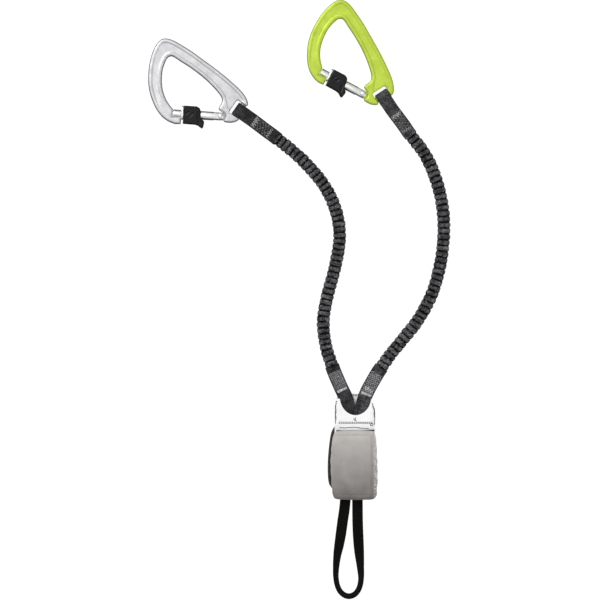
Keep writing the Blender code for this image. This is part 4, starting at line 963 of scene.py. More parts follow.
def polished_material(name, tint, rough):
    """Turned and polished metal: bright, with fine rings of tool marks and a few hairline scratches."""
    made, tree, shader = new_material(name)
    place = add(tree, "ShaderNodeTexCoord", out="Object")
    haze = add(tree, "ShaderNodeTexNoise", {"Vector": place, "Scale": 600.0, "Detail": 5.0})
    gloss = add(tree, "ShaderNodeMapRange", [haze, 0.3, 0.7, rough - 0.05, rough + 0.08])
    lines = add(tree, "ShaderNodeMapping", {"Vector": place, "Scale": (4200.0, 500.0, 500.0)})
    marks = add(tree, "ShaderNodeTexNoise", {"Vector": lines, "Scale": 1.0, "Detail": 2.0})
    bump = add(tree, "ShaderNodeBump", {"Height": marks, "Strength": 0.02, "Distance": 0.0001})
    tone = add(tree, "ShaderNodeMix", {0: haze, 6: linear(tint), 7: linear("fcfcfd")}, out=2,
               data_type="RGBA")
    feed(tree, shader, {"Base Color": tone, "Roughness": gloss, "Normal": bump, "Metallic": 1.0})
    return made


GATE_METAL = polished_material("polished_aluminium", "fafafc", rough=0.33)
both_sides("polished_gate", gate_mesh(), [GATE_METAL] * 2, "gate", "gate_bar", ["gate_alloy"] * 2)


# Rivets and plungers
# The rivet is drawn steel, headed cold at both ends. The plunger that shuts the gate and the coil spring
# behind it are steel as well, hidden in the gate's bore, so their solids stay and take the same finish.

STEEL = polished_material("bright_drawn_steel", "b4b4b9", rough=0.36)


def rivet_mesh():
    """Rivet with a low domed head at each end."""
    seat = RIVET_SEAT + FIT
    dome = ((0.0007, 0), (0.00062, 0.0010), (0.00042, 0.0018), (0.00020, 0.0024), (0, RIVET_HEAD),
            (0, RIVET_RADIUS))
    half = [(seat + rise, radius) for rise, radius in dome]
    mesh = turned(half + [(-x, y) for x, y in reversed(half)], sides=48)
    mesh.transform(Matrix.Rotation(math.pi / 2, 4, "Y"))
    mesh.shade_smooth()
    mesh.set_sharp_from_angle(angle=CRISP)
    return mesh


both_sides("headed_rivet", rivet_mesh(), [STEEL] * 2, "carabiner", "gate_rivet", ["steel"] * 2)
for side in SIDES:
    for node_name in ("gate_plunger", "gate_spring"):
        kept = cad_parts[f"{side}_{node_name}"]
        kept.data.materials.clear()
        kept.data.materials.append(STEEL)


# Locking sleeves, their rings and springs
# The sleeve is injection moulded glass-filled nylon, black and satin, with a lip for the thumb. A thin
# aluminium ring closes its nose end, and a coil spring of round steel wire on the gate pushes it there.

SLEEVE_LENGTH, SLEEVE_REACH, SLEEVE_THICKNESS, SLEEVE_ROUND = 0.0195, 0.0102, 0.0123, 0.0016
RING_START = TIP_LENGTH - GATE_LENGTH + FIT
RING_FLANGE, RING_ROUND, BUSH_LENGTH = 0.0016, 0.0035, 0.0040
RING_LOW, RING_HIGH = (-0.0059, -0.0060), (0.0059, 0.0092)
SLEEVE_SHARES = (
    (0.0, 0.93), (0.733, 0.93), (0.908, 0.745), (0.979, 0.392), (1.0, -0.196), (1.026, -0.43),
    (1.164, -0.55), (1.2, -0.784), (1.154, -1.275), (1.082, -1.42), (1.0, -1.333),
    (0.862, -1.137), (0.682, -1.049), (0.0, -1.02))
SLEEVE_START = RING_START + RING_FLANGE + FIT
# The grip's scoops: place along and across the sleeve, turn in degrees, half width and half length
SCOOPS = ((0.0040, 0.0010, -48, 0.0014, 0.0038), (0.0084, -0.0006, -36, 0.0016, 0.0046),
          (0.0168, -0.0030, 12, 0.0019, 0.0074))
SCOOP_DEPTH = 0.0006


def sleeve_mesh():
    """The moulded sleeve with three shallow grip scoops on each face."""
    outline = [(SLEEVE_START + x * SLEEVE_LENGTH, y * SLEEVE_REACH) for x, y in SLEEVE_SHARES]
    sleeve = plate(outline, SLEEVE_THICKNESS, SLEEVE_ROUND)
    cutters = [rod(GATE_RADIUS + FIT, (-GATE_LENGTH, 0, 0), (0, 0, 0))]
    for face in (-1, 1):
        for shift, across, turn, half_width, half_length in SCOOPS:
            scoop = turned([(math.cos(math.pi * part / 12), math.sin(math.pi * part / 12))
                            for part in range(13)], sides=24)
            scoop.transform(Matrix.Translation((SLEEVE_START + shift, across, face * SLEEVE_THICKNESS / 2))
                            @ Matrix.Rotation(math.radians(turn), 4, "Z")
                            @ Matrix.Diagonal((half_width, half_length, SCOOP_DEPTH, 1)))
            cutters.append(scoop)
    return softened(combined("DIFFERENCE", sleeve, *cutters), voxel=0.00026, passes=2)


def ring_mesh():
    """The lock ring: a flat flange with a short bush."""
    middle = RING_START + RING_FLANGE / 2
    flange = plate(rounded_box(RING_LOW, RING_HIGH, RING_ROUND, 10), RING_FLANGE)
    flange.transform(Matrix.Translation((middle, 0, 0)) @ Matrix.Rotation(math.pi / 2, 4, "Y"))
    bush = rod(GATE_RADIUS, (middle, 0, 0), (RING_START + RING_FLANGE + BUSH_LENGTH, 0, 0))
    hole = rod(SHANK_RADIUS + FIT, (-GATE_LENGTH, 0, 0), (0, 0, 0))
    return eased(combined("DIFFERENCE", combined("UNION", flange, bush), hole), width=0.0003)


def nylon_material(name, black, grain):
    """Glass-filled nylon, moulded: black with a low satin shine and a fine spark-eroded grain."""
    made, tree, shader = new_material(name)
    place = add(tree, "ShaderNodeTexCoord", out="Object")
    speck = add(tree, "ShaderNodeTexNoise", {"Vector": place, "Scale": grain, "Detail": 2.0})
    rub = add(tree, "ShaderNodeTexNoise", {"Vector": place, "Scale": 240.0, "Detail": 4.0})
    rub = add(tree, "ShaderNodeMapRange", [rub, 0.38, 0.66, 0.0, 1.0])
    gloss = add(tree, "ShaderNodeMapRange", [rub, 0.0, 1.0, 0.16, 0.28])
    tone = add(tree, "ShaderNodeMix", {0: rub, 6: linear(black), 7: linear("0c0c0d")}, out=2,
               data_type="RGBA")
    bump = add(tree, "ShaderNodeBump", {"Height": speck, "Strength": 0.1, "Distance": 0.0002})
    feed(tree, shader, {"Base Color": tone, "Roughness": gloss, "Normal": bump, "Specular IOR Level": 0.26})
    return made


NYLON = nylon_material("glass_filled_nylon", "030304", grain=1500.0)
both_sides("moulded_sleeve", sleeve_mesh(), [NYLON] * 2, "slider", "locking_sleeve", ["black_nylon"] * 2)
both_sides("bright_lock_ring", ring_mesh(), [GATE_METAL] * 2, "slider", "lock_ring", ["gate_alloy"] * 2)


def coil_tree():
    """A compression spring: round wire carried along an even spiral."""
    tree, given = new_tree("coil_spring", {"Wire Radius": 0.0004, "Coil Radius": 0.0038, "Length": 0.01,
                                           "Turns": 5.0})
    spiral = add(tree, "GeometryNodeCurveSpiral", {
        "Resolution": 32, "Rotations": given["Turns"], "Start Radius": given["Coil Radius"],
        "End Radius": given["Coil Radius"], "Height": given["Length"]})
    wire = add(tree, "GeometryNodeCurvePrimitiveCircle", {"Resolution": 8, "Radius": given["Wire Radius"]})
    coil = add(tree, "GeometryNodeCurveToMesh", {"Curve": spiral, "Profile Curve": wire, "Fill Caps": True})
    end_tree(tree, given, coil)
    return tree


SPRING_WIRE, SPRING_TURNS = 0.0004, 5.0
SPRING_FRONT = SLEEVE_START + BUSH_LENGTH
SPRING_BACK = -SHANK_START - FIT
SPRING_RADIUS = (SHANK_RADIUS + GATE_RADIUS + FIT) / 2
spring_length = SPRING_BACK - SPRING_FRONT
spring_piece = grown("coil", [], [], coil_tree(), STEEL, {
    "Wire Radius": SPRING_WIRE, "Coil Radius": SPRING_RADIUS, "Turns": SPRING_TURNS,
    "Length": spring_length - 2 * SPRING_WIRE})
spring = spring_piece.data.copy()
bpy.data.objects.remove(spring_piece)
spring.transform(Matrix.Translation((SPRING_FRONT + SPRING_WIRE, 0, 0))
                 @ Matrix.Rotation(math.pi / 2, 4, "Y"))
springs = both_sides("coiled_sleeve_spring", spring, [STEEL] * 2, "gate", "sleeve_spring", ["steel"] * 2)
for side, piece in zip(SIDES, springs):
    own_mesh(piece)


# Pouch cover
# The absorber sits in a sleeve of coated polyester, cut from one piece and wrapped round the folded webbing,
# so its front is softly crowned, its corners are rounded and its right-hand fold stands a little proud.

POUCH_WIDTH, POUCH_LENGTH = 0.0498, 0.0747
POUCH_TOP, POUCH_BOTTOM, POUCH_ROUND = 0.0260, 0.0019, 0.0050
COVER_CLOTH, COVER_PUFF = 0.0009, 0.0012         # the cloth's thickness, and how far it may blow up
COVER_GRAIN, OPEN_RISE = 0.00145, 0.0022         # fineness of its skin, and height of its open underside
HELD_BELOW = 0.0045
FOLD_DIP, FOLD_RISE, SEAM_DIP = 0.00075, 0.00052, 0.00045
SEAM_LEVELS, SEAM_SHARE = (0.0330, -0.0335), 0.72
# Openings for the straps and for the tie-in loop, from one corner to the other across, along and up
MOUTHS = (((-0.0214, 0.0, 0.0092), (0.0238, 0.05, 0.0168)),
          ((-0.0157, -0.05, 0.0114), (0.0098, 0.0, 0.0146)))
POUCH_RIM = (
    (-0.0196, -0.0373), (-0.0100, -0.0375), (0.0, -0.0375), (0.0100, -0.0375), (0.0206, -0.0373),
    (0.0234, -0.0356), (0.0245, -0.0325), (0.0248, -0.0260), (0.0249, -0.0100), (0.0247, 0.0076),
    (0.0241, 0.0220), (0.0232, 0.0310), (0.0222, 0.0352), (0.0204, 0.0367), (0.0100, 0.0373),
    (0.0, 0.0375), (-0.0100, 0.0373), (-0.0186, 0.0368), (-0.0212, 0.0354), (-0.0228, 0.0315),
    (-0.0242, 0.0220), (-0.0248, 0.0100), (-0.0249, 0.0), (-0.0246, -0.0120), (-0.0240, -0.0260),
    (-0.0230, -0.0340), (-0.0218, -0.0364))


def stuffed(mesh):
    """The mesh after a cloth simulation that blows it up, with its lower rim held. Moves are limited."""
    made = show("stuffed", mesh)
    held = made.vertex_groups.new(name="held")
    held.add([v.index for v in mesh.vertices if v.co.z < HELD_BELOW], 1.0, "REPLACE")
    cloth = made.modifiers.new("stuffing", "CLOTH")
    cloth.settings.quality = 5
    cloth.settings.mass = 0.12
    cloth.settings.tension_stiffness = cloth.settings.compression_stiffness = 12
    cloth.settings.shear_stiffness = 6
    cloth.settings.bending_stiffness = 0.3
    cloth.settings.use_pressure = True
    cloth.settings.uniform_pressure_force = 4
    cloth.settings.shrink_min = -0.015
    cloth.settings.vertex_group_mass = "held"
    cloth.settings.effector_weights.gravity = 0
    first, last = 1, 20
    cloth.point_cache.frame_start, cloth.point_cache.frame_end = first, last
    before = np.array([v.co for v in mesh.vertices])
    for number in range(first, last + 1):
        bpy.context.scene.frame_set(number)
    eased_mesh = made.evaluated_get(bpy.context.evaluated_depsgraph_get()).to_mesh()
    move = np.array([v.co for v in eased_mesh.vertices]) - before
    size = np.linalg.norm(move, axis=1)[:, None]
    after = before + move * np.minimum(1, COVER_PUFF / np.maximum(size, 1e-9))
    bpy.data.objects.remove(made)
    bpy.context.scene.frame_set(first)
    mesh.vertices.foreach_set("co", after.ravel())
    return mesh


def bump_at(value, place, width):
    """1 at the place and falling away smoothly over the width."""
    return np.exp(-((value - place) / width) ** 2)


def creases(spots, normals, rim):
    """How far the cover stands out or sinks in at every spot: its seams, its fold and its creases."""
    x, y, front = spots[:, 0], spots[:, 1], np.clip(normals[:, 2] * 1.6, 0, 1)
    right = [p for p in rim if p.x > 0]
    inward = np.interp(y, [p.y for p in right], [p.x for p in right]) - x
    # The seam beside the right-hand fold sinks in, and the fold itself wanders and is crumpled
    wander = np.sin(y * 330 + 1.3 + 2 * np.sin(y * 97)) + np.sin(y * 1290 + x * 300 + 3 * np.sin(y * 143))
    crumple = np.sin(y * 2100 + 3 * np.sin(y * 410)) + np.sin(y * 890 + x * 500)
    push = -FOLD_DIP * bump_at(inward, 0.0046 + 0.0003 * np.sin(y * 260), 0.0009)
    push += 0.00018 * wander * bump_at(inward, 0.0022, 0.0016)
    push += (FOLD_RISE + 0.00016 * crumple) * bump_at(inward, 0.0020 + 0.0003 * np.sin(y * 610), 0.0007)
    push -= SEAM_DIP * sum(bump_at(y, level, 0.0007) for level in SEAM_LEVELS)
    # Long soft creases and two slow swells cover the rest of the front, and ripples run down the sides
    push += 0.00014 * np.sin(x * 620 + 2.5 * np.sin(y * 55)) * (1 - bump_at(inward, 0, 0.006))
    push += 0.00012 * np.sin(x * 150 - y * 60 + 0.8) + 0.00007 * np.sin(y * 190 + x * 90)
    side = np.clip(1.4 * np.abs(normals[:, 0]) - 0.3, 0, 1)
    return push * front + side * 0.00022 * np.sin(y * 520 + 1.5 * np.sin(spots[:, 2] * 260))


def pouch_mesh():
    """The stuffed cover: blown up, creased, open underneath, and cut out at its two mouths."""
    rim = smooth_line([(x, y, 0) for x, y in (*POUCH_RIM, POUCH_RIM[0])], 6)[:-1]
    height = POUCH_TOP - POUCH_BOTTOM
    mesh = plate([(p.x, p.y) for p in rim], height, POUCH_ROUND, rounds=5)
    mesh.transform(Matrix.Translation((0, 0, POUCH_BOTTOM + height / 2)))
    mesh = softened(mesh, voxel=COVER_GRAIN, passes=3)
    mesh = stuffed(mesh)
    made = show("pouch", mesh)
    finer = made.modifiers.new("finer", "SUBSURF")
    finer.levels = finer.render_levels = 1
    mesh = mesh_from(made)
    spots = np.array([v.co for v in mesh.vertices])
    normals = np.array([v.normal for v in mesh.vertices])
    spots += normals * creases(spots, normals, rim)[:, None]
    mesh.vertices.foreach_set("co", spots.ravel())
    shape = bmesh.new()
    shape.from_mesh(mesh)
    under = [face for face in shape.faces if face.normal.z < -0.5
             and face.calc_center_median().z < POUCH_BOTTOM + OPEN_RISE]
    bmesh.ops.delete(shape, geom=under, context="FACES")
    shape.to_mesh(mesh)
    shape.free()
    made = show("pouch", mesh)
    cloth = made.modifiers.new("cloth", "SOLIDIFY")
    cloth.thickness = COVER_CLOTH
    cloth.offset = -1
    mesh = mesh_from(made)
    mouths = []
    for low, high in MOUTHS:
        corner = (high[2] - low[2]) * 0.45
        opening = plate(rounded_box((low[0], low[2]), (high[0], high[2]), corner), high[1] - low[1])
        opening.transform(Matrix.Translation((0, (low[1] + high[1]) / 2, 0))
                          @ Matrix.Rotation(math.pi / 2, 4, "X"))
        mouths.append(opening)
    mesh = combined("DIFFERENCE", mesh, *mouths)
    mesh.shade_smooth()
    return mesh


CLOTH_PITCH = 0.0009


def coated_cloth(name, upper, lower):
    """Coated polyester, plain woven: smooth and matt, painted paler at the top and darker at the bottom as
    painted light and shade, with painted highlights along its fold.

    The square weave is drawn 0.9 mm wide, coarser than real, because a finer one would not show.
    """
    made, tree, shader = new_material(name)
    place = add(tree, "ShaderNodeTexCoord", out="Object")
    parts = add(tree, "ShaderNodeSeparateXYZ", [place], out=None)
    pitch = 2 * math.pi / CLOTH_PITCH
    warp = add(tree, "ShaderNodeMath", [parts["X"], pitch], operation="MULTIPLY")
    weft = add(tree, "ShaderNodeMath", [parts["Y"], pitch], operation="MULTIPLY")
    warp = add(tree, "ShaderNodeMath", [warp], operation="SINE")
    weft = add(tree, "ShaderNodeMath", [weft], operation="SINE")
    weave = add(tree, "ShaderNodeMath", [warp, weft], operation="MULTIPLY")
    cloud = add(tree, "ShaderNodeTexNoise", {"Vector": place, "Scale": 70.0, "Detail": 5.0})
    cloud = add(tree, "ShaderNodeMapRange", [cloud, 0.0, 1.0, 0.28, 0.72])
    mixed = add(tree, "ShaderNodeMath", [weave, 0.04, cloud], operation="MULTIPLY_ADD")
    # The cloth is painted paler towards the top and darker towards the bottom, as painted light and shade
    fade = add(tree, "ShaderNodeMapRange", [parts["Y"], -0.036, 0.030, -0.46, 0.34])
    mixed = add(tree, "ShaderNodeMath", [mixed, fade], operation="ADD")
    colour = add(tree, "ShaderNodeMix", {0: mixed, 6: linear(lower), 7: linear(upper)}, out=2,
                 data_type="RGBA")
    # Pale crackled marks along the right-hand fold are painted highlights on its crumpled edge
    fold = add(tree, "ShaderNodeMapRange", [parts["X"], 0.0212, 0.0232, 0.0, 1.0])
    crackle = add(tree, "ShaderNodeTexNoise", {"Vector": place, "Scale": 520.0, "Detail": 3.0})
    crackle = add(tree, "ShaderNodeMapRange", [crackle, 0.44, 0.62, 0.0, 0.8])
    painted_fold_highlights = add(tree, "ShaderNodeMath", [fold, crackle], operation="MULTIPLY")
    colour = add(tree, "ShaderNodeMix", {0: painted_fold_highlights, 6: colour, 7: linear("eeebe8")}, out=2,
                 data_type="RGBA")
    bump = add(tree, "ShaderNodeBump", {"Height": weave, "Strength": 0.25, "Distance": 0.0002})
    feed(tree, shader, {"Base Color": colour, "Normal": bump, "Roughness": 0.62, "Sheen Weight": 0.2})
    return made


# The paler colour is painted light at the top, and the darker one painted shade at the bottom
POUCH_CLOTH = coated_cloth("coated_polyester", "c6c1bd", "6c6865")
pouch = show("stuffed_cover", pouch_mesh())
pouch.data.materials.append(POUCH_CLOTH)
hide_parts("pouch_cover")
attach(pouch, "absorber")
pouch_skin = bvhtree.BVHTree.FromPolygons([v.co for v in pouch.data.vertices],
                                          [face.vertices for face in pouch.data.polygons])


def on_pouch(x, y):
    """The place on the pouch's front above a point."""
    return pouch_skin.ray_cast(Vector((x, y, 1)), Vector((0, 0, -1)))[0] - Vector((0, 0, 0.0001))


def dashes(spots, share):
    """Every pair of following spots as one stitch, shortened to a share of its length."""
    made = []
    for a, b in zip(spots, spots[1:]):
        gap = (b - a) * (1 - share) / 2
        made.append((a + gap, b - gap))
    return made


seams = []
for level in SEAM_LEVELS:
    seams += dashes([on_pouch(x, level) for x in np.linspace(-0.0205, 0.0200, 17)], SEAM_SHARE)
seams += dashes([on_pouch(0.0200 - 0.0004 * abs(y) / 0.03, y) for y in np.linspace(-0.0320, 0.0315, 27)],
                SEAM_SHARE)
POUCH_THREAD = thread_material("grey_seam_thread", "77736f", "b3aeaa")
sewn("pouch_seams", seams, POUCH_THREAD, "absorber", radius=0.00022, arch=0.0002)

# A dark binding edges the cover's upper mouth, and sags towards its right end, where the dark strip also
# stands for painted shade in the gap under the tab
LIP_SAG, LIP_TILT = 0.0016, (0, 0.35, 1)
mouth_lip = []
for x in np.linspace(-0.0196, 0.0222, 40):
    sag = LIP_SAG * max(0.0, (x - 0.006) / 0.016) ** 1.5
    mouth_lip.append((x, 0.0370 + 0.0003 * math.cos(x * 70) + 0.5 * sag, 0.0186 - 0.5 * sag))
mouth_section = rounded_box((-0.0016, -0.0006), (0.0016, 0.0006), 0.0005, 3)
BINDING = webbing_material("dark_grey_edge_binding", "1c1c1d", "4a4848", relief=0.5)
binding = ribbon("mouth_binding", mouth_lip, [LIP_TILT] * len(mouth_lip), mouth_section, BINDING)
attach(binding, "absorber")


# Back panel, closure and folded webbing
# A black webbing panel backs the pouch and shows along its left edge. Behind the cover's left side lie the
# two halves of a hook-and-loop closure, and inside is the long tear webbing, folded to and fro.

PANEL_THICKNESS, PANEL_ROUND = 0.0015, 0.0006
HEM_INSET, HEM_LIFT, HEM_SHARE = 0.0012, 0.00002, 0.66
TAPE_LOW, TAPE_HIGH, TAPE_THICKNESS = (-0.0219, -0.0250), (-0.0157, 0.0250), 0.0008
TAPE_CORNER, STRIP_ROUND = 0.0015, 0.0002
HOOK_LEVEL, PILE_LEVEL, HOOK_LENGTH, PILE_LENGTH = 0.00225, 0.0034, 0.0007, 0.0006
FIELD_LIFT, FIELD_SHIFT = 0.00037, 0.0004        # from a tape's middle to its hooks, and a row's offset
# The tear webbing's plies: how many, their spacing, the lowest one's height and their ends
PACK_PLIES, PACK_PITCH, PACK_BOTTOM, PACK_END = 7, 0.0022, 0.0064, 0.0280
STRAP_LEVEL = 0.0130             # height at which both straps meet the junction webbing
JOINER_PLACE, JOINER_TOP, JOINER_BOTTOM = 0.0015, 0.04565, 0.02985
PANEL_SHARES = (
    (-0.43, 0.56), (-0.475, 0.515), (-0.513, 0.443), (-0.548, 0.29), (-0.576, 0.08),
    (-0.580, -0.11), (-0.555, -0.28), (-0.48, -0.36), (-0.40, -0.44), (0.36, -0.46), (0.45, -0.40),
    (0.455, 0.40), (0.40, 0.53))


def flat_cloth_material(name, dark, light, pitch):
    """Black polyamide cloth for the flat pieces: a dull weave whose slanted ridges just show.

    The ridges are drawn 1 mm apart, coarser than real, because finer ones would not show.
    """
    made, tree, shader = new_material(name)
    place = add(tree, "ShaderNodeTexCoord", out="Object")
    parts = add(tree, "ShaderNodeSeparateXYZ", [place], out=None)
    slant = add(tree, "ShaderNodeMath", [parts["X"], parts["Y"]], operation="ADD")
    turns = add(tree, "ShaderNodeMath", [slant, 2 * math.pi / pitch], operation="MULTIPLY")
    ridge = add(tree, "ShaderNodeMath", [turns], operation="SINE")
    specks = add(tree, "ShaderNodeTexNoise", {"Vector": place, "Scale": 900.0, "Detail": 3.0})
    mixed = add(tree, "ShaderNodeMath", [ridge, 0.2, specks], operation="MULTIPLY_ADD")
    colour = add(tree, "ShaderNodeMix", {0: mixed, 6: linear(dark), 7: linear(light)}, out=2,
                 data_type="RGBA")
    bump = add(tree, "ShaderNodeBump", {"Height": ridge, "Strength": 0.4, "Distance": 0.0002})
    feed(tree, shader, {"Base Color": colour, "Normal": bump, "Roughness": 0.8})
    return made


BLACK_CLOTH = flat_cloth_material("black_plain_weave", "101011", "343436", pitch=0.0010)


def simple_strip(name, node, outline, thickness, level, rounding, finish):
    """A flat strip at a level, in place of its solid."""
    mesh = plate(outline, thickness, rounding)
    mesh.transform(Matrix.Translation((0, 0, level)))
    mesh.materials.append(finish)
    mesh.shade_smooth()
    piece = show(name, mesh)
    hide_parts(node)
    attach(piece, "absorber")


panel_outline = smooth_line(
    [(x * POUCH_WIDTH, y * POUCH_LENGTH, 0) for x, y in (*PANEL_SHARES, PANEL_SHARES[0])], 5)
simple_strip("black_back_panel", "back_panel", panel_outline[:-1], PANEL_THICKNESS, PANEL_THICKNESS / 2,
             PANEL_ROUND, BLACK_CLOTH)
hem = np.array(beside([*panel_outline, panel_outline[1]], -HEM_INSET)[1:])
hem_line = stretch(np.column_stack((hem, np.zeros(len(hem)))), 0, length_of(hem) - 0.0005, 84)
hem_stitches = []
for level in (PANEL_THICKNESS + HEM_LIFT, -HEM_LIFT):
    hem_stitches += dashes([Vector(spot) + Vector((0, 0, level)) for spot in hem_line], HEM_SHARE)
sewn("panel_hem", hem_stitches, DARK_THREAD, "absorber", radius=0.00018, arch=0.00005)

tape = rounded_box(TAPE_LOW, TAPE_HIGH, TAPE_CORNER)
simple_strip("hook_side", "hook_tape", tape, TAPE_THICKNESS, HOOK_LEVEL, STRIP_ROUND, NYLON)
simple_strip("loop_side", "loop_tape", tape, TAPE_THICKNESS, PILE_LEVEL, STRIP_ROUND, BLACK_CLOTH)
hook_face, pile_face = HOOK_LEVEL + FIELD_LIFT, PILE_LEVEL - FIELD_LIFT
hooks, loops = [], []
for row, y in enumerate(np.linspace(-0.0236, 0.0236, 30)):
    for x in np.linspace(-0.0212, -0.0164, 6):
        shift = FIELD_SHIFT * (row % 2)
        hooks.append((Vector((x + shift, y, hook_face)), Vector((x + shift, y + HOOK_LENGTH, hook_face))))
        loops.append((Vector((x - shift, y, pile_face)), Vector((x - shift + PILE_LENGTH, y, pile_face))))
sewn("hook_field", hooks, NYLON, "absorber", radius=0.0001)
sewn("loop_field", loops, BLACK_CLOTH, "absorber", radius=0.00008, arch=-0.00025)

folds = []
for number in range(PACK_PLIES):
    level = PACK_BOTTOM + number * PACK_PITCH
    far = PACK_END if number % 2 else -PACK_END
    folds += [(0, far * share, level) for share in (1, 0.5, 0, -0.5, -1)]
    if number < PACK_PLIES - 1:
        half = PACK_PITCH / 2
        for angle in (math.pi / 4, math.pi / 2, 3 * math.pi / 4):
            folds.append((0, -far - math.copysign(half * math.sin(angle), far),
                          level + half - half * math.cos(angle)))
joiner = [(JOINER_PLACE, y, STRAP_LEVEL) for y in np.linspace(JOINER_TOP, JOINER_BOTTOM, 12)]
for name, node_name, middle_line, half_width, thickness in (
        ("folded_tear_webbing", "tear_webbing", folds, 0.0150, 0.0018),
        ("junction_webbing", "junction_strap", joiner, 0.0135, 0.0026)):
    piece = ribbon(name, middle_line, [(1, 0, 0)] * len(middle_line), ply_section(half_width, thickness),
                   STRAP_WEBBING["left"])
    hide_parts(node_name)
    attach(piece, "absorber")


# White tab
# A folded label of smooth white polyester wraps the place where both arms join. Its front ply has a deep
# round neck through which the straps show, and rows of dark thread hold it down.

TAB_CENTRE, TAB_HALF_WIDTH, TAB_FLAT = 0.0010, 0.0224, 0.0190
TAB_BOTTOM, TAB_FRONT_TOP, TAB_BACK_TOP = 0.0335, 0.0725, 0.0782
TAB_CLOTH = 0.0008
TAB_RISE, TAB_FOLD_LOW = 0.0034, 0.0004          # height of its faces and of its folds over the straps
THREAD_SINK = 0.00005
NECK_PLACE, NECK_SIZE = (0.0016, 0.0745, STRAP_LEVEL), (0.0172, 0.0200, 0.0260)
TAB_SHARES = (
    (-1.0, 0.0), (1.0, 0.0), (1.0, 0.526), (0.955, 0.653), (0.888, 0.761), (0.812, 0.850),
    (0.72, 1.0), (-0.86, 1.0), (-0.915, 0.895), (-0.965, 0.790), (-1.0, 0.680))


def tab_outline():
    """The tab seen from the front."""
    length = TAB_BACK_TOP - TAB_BOTTOM
    return [(TAB_CENTRE + x * TAB_HALF_WIDTH, TAB_BOTTOM + y * length) for x, y in TAB_SHARES]


def tab_front_mesh():
    """Front ply: flat over the straps, bent down at both sides, with its round neck cut out."""
    drop = TAB_RISE - TAB_CLOTH / 2 - TAB_FOLD_LOW
    bend = [(TAB_FLAT + (TAB_HALF_WIDTH - TAB_FLAT) * math.sin(a), TAB_FOLD_LOW + drop * math.cos(a))
            for a in (math.pi / 2 * step / 12 for step in range(13))]
    line = [(-x, y) for x, y in reversed(bend)] + bend
    length = TAB_FRONT_TOP - TAB_BOTTOM
    ply = plate([*beside(line, -TAB_CLOTH / 2), *reversed(beside(line, TAB_CLOTH / 2))], length)
    ply.transform(Matrix.Translation((TAB_CENTRE, TAB_BOTTOM + length / 2, STRAP_LEVEL))
                  @ Matrix.Rotation(math.pi / 2, 4, "X"))
    neck = rod(1, (0, 0, -1), (0, 0, 1), sides=96)
    neck.transform(Matrix.Translation(NECK_PLACE) @ Matrix.Diagonal((*NECK_SIZE, 1)))
    shaped = combined("INTERSECT", ply, plate(tab_outline(), thickness=0.0520))
    return eased(combined("DIFFERENCE", shaped, neck), width=0.00018)


def label_material(name, white, painted_wrinkle_shade):
    """Smooth white polyester label cloth: fine satin weave, painted a little darker in its wrinkles as
    painted shade, and slightly see-through, shown by a faint painted glow all over.
    """
    made, tree, shader = new_material(name)
    place = add(tree, "ShaderNodeTexCoord", out="Object")
    cloud = add(tree, "ShaderNodeTexNoise", {"Vector": place, "Scale": 140.0, "Detail": 5.0})
    fine = add(tree, "ShaderNodeTexNoise", {"Vector": place, "Scale": 1400.0, "Detail": 2.0})
    # Low places of the wrinkle cloud are painted darker, as painted shade in the wrinkles
    colour = add(tree, "ShaderNodeMix", {0: cloud, 6: linear(painted_wrinkle_shade), 7: linear(white)}, out=2,
                 data_type="RGBA")
    height = add(tree, "ShaderNodeMath", [cloud, 2.0, fine], operation="MULTIPLY_ADD")
    bump = add(tree, "ShaderNodeBump", {"Height": height, "Strength": 0.4, "Distance": 0.0007})
    # A faint glow stands for the light that comes through from the white below
    feed(tree, shader, {"Base Color": colour, "Normal": bump, "Roughness": 0.5,
                        "Emission Color": (1, 1, 1, 1), "Emission Strength": 0.05})
    return made


LABEL_CLOTH = label_material("white_polyester_label", "ffffff", "f0f0f0")
front = tab_front_mesh()
front.materials.append(LABEL_CLOTH)
front_tab = show("white_tab_front", front)
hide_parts("tab_front")
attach(front_tab, "absorber")
simple_strip("white_tab_back", "tab_back", tab_outline(), TAB_CLOTH, STRAP_LEVEL - TAB_RISE + TAB_CLOTH / 2,
             STRIP_ROUND, LABEL_CLOTH)


def on_tab(x, y):
    """A place on the front of the tab, which bends down towards its sides."""
    past = max(abs(x - TAB_CENTRE) - TAB_FLAT, 0) / (TAB_HALF_WIDTH - TAB_FLAT)
    fall = (TAB_RISE - TAB_FOLD_LOW) * (1 - math.sqrt(max(1 - past * past, 0)))
    return Vector((x, y, STRAP_LEVEL + TAB_RISE - THREAD_SINK - fall))


# Two straight rows run across and one up each side
TAB_SHARE = 0.66
tab_seams = []
for level in (0.0468, 0.0455):
    tab_seams += dashes([on_tab(x, level) for x in np.linspace(-0.0172, 0.0205, 17)], TAB_SHARE)
side_seams = []
for edge_x, low, high in ((-0.0203, 0.0450, 0.0655), (0.0224, 0.0440, 0.0625)):
    side_seams += dashes([on_tab(edge_x + 0.0004 * math.sin(y * 900), y)
                          for y in np.linspace(low, high, 9)], TAB_SHARE)
# Slanted stitches bind both folds: the folds' places by height, and where the stitches begin and end
for inward, heights, folds, low, high, count in (
        (1, (0.0639, 0.0688, 0.0735), (-0.0214, -0.0206, -0.0195), 0.0480, 0.0685, 10),
        (-1, (0.0570, 0.0627, 0.0675), (0.0234, 0.0224, 0.0209), 0.0530, 0.0660, 7)):
    for number, y in enumerate(np.linspace(low, high, count)):
        fold = float(np.interp(y, heights, folds))
        side_seams.append((on_tab(fold + inward * 0.0004, y + 0.0003 * math.sin(number * 2.3)),
                           on_tab(fold + inward * (0.0019 + 0.0004 * math.sin(number * 1.7)), y + 0.0012)))
# A loose row of long stitches wanders along the lower edge
tab_seams += dashes([on_tab(x, 0.0412 - 0.0010 * (x + 0.016) / 0.032 + 0.0005 * math.cos(x * 260))
                     for x in np.linspace(-0.0160, 0.0160, 12)], share=0.9)
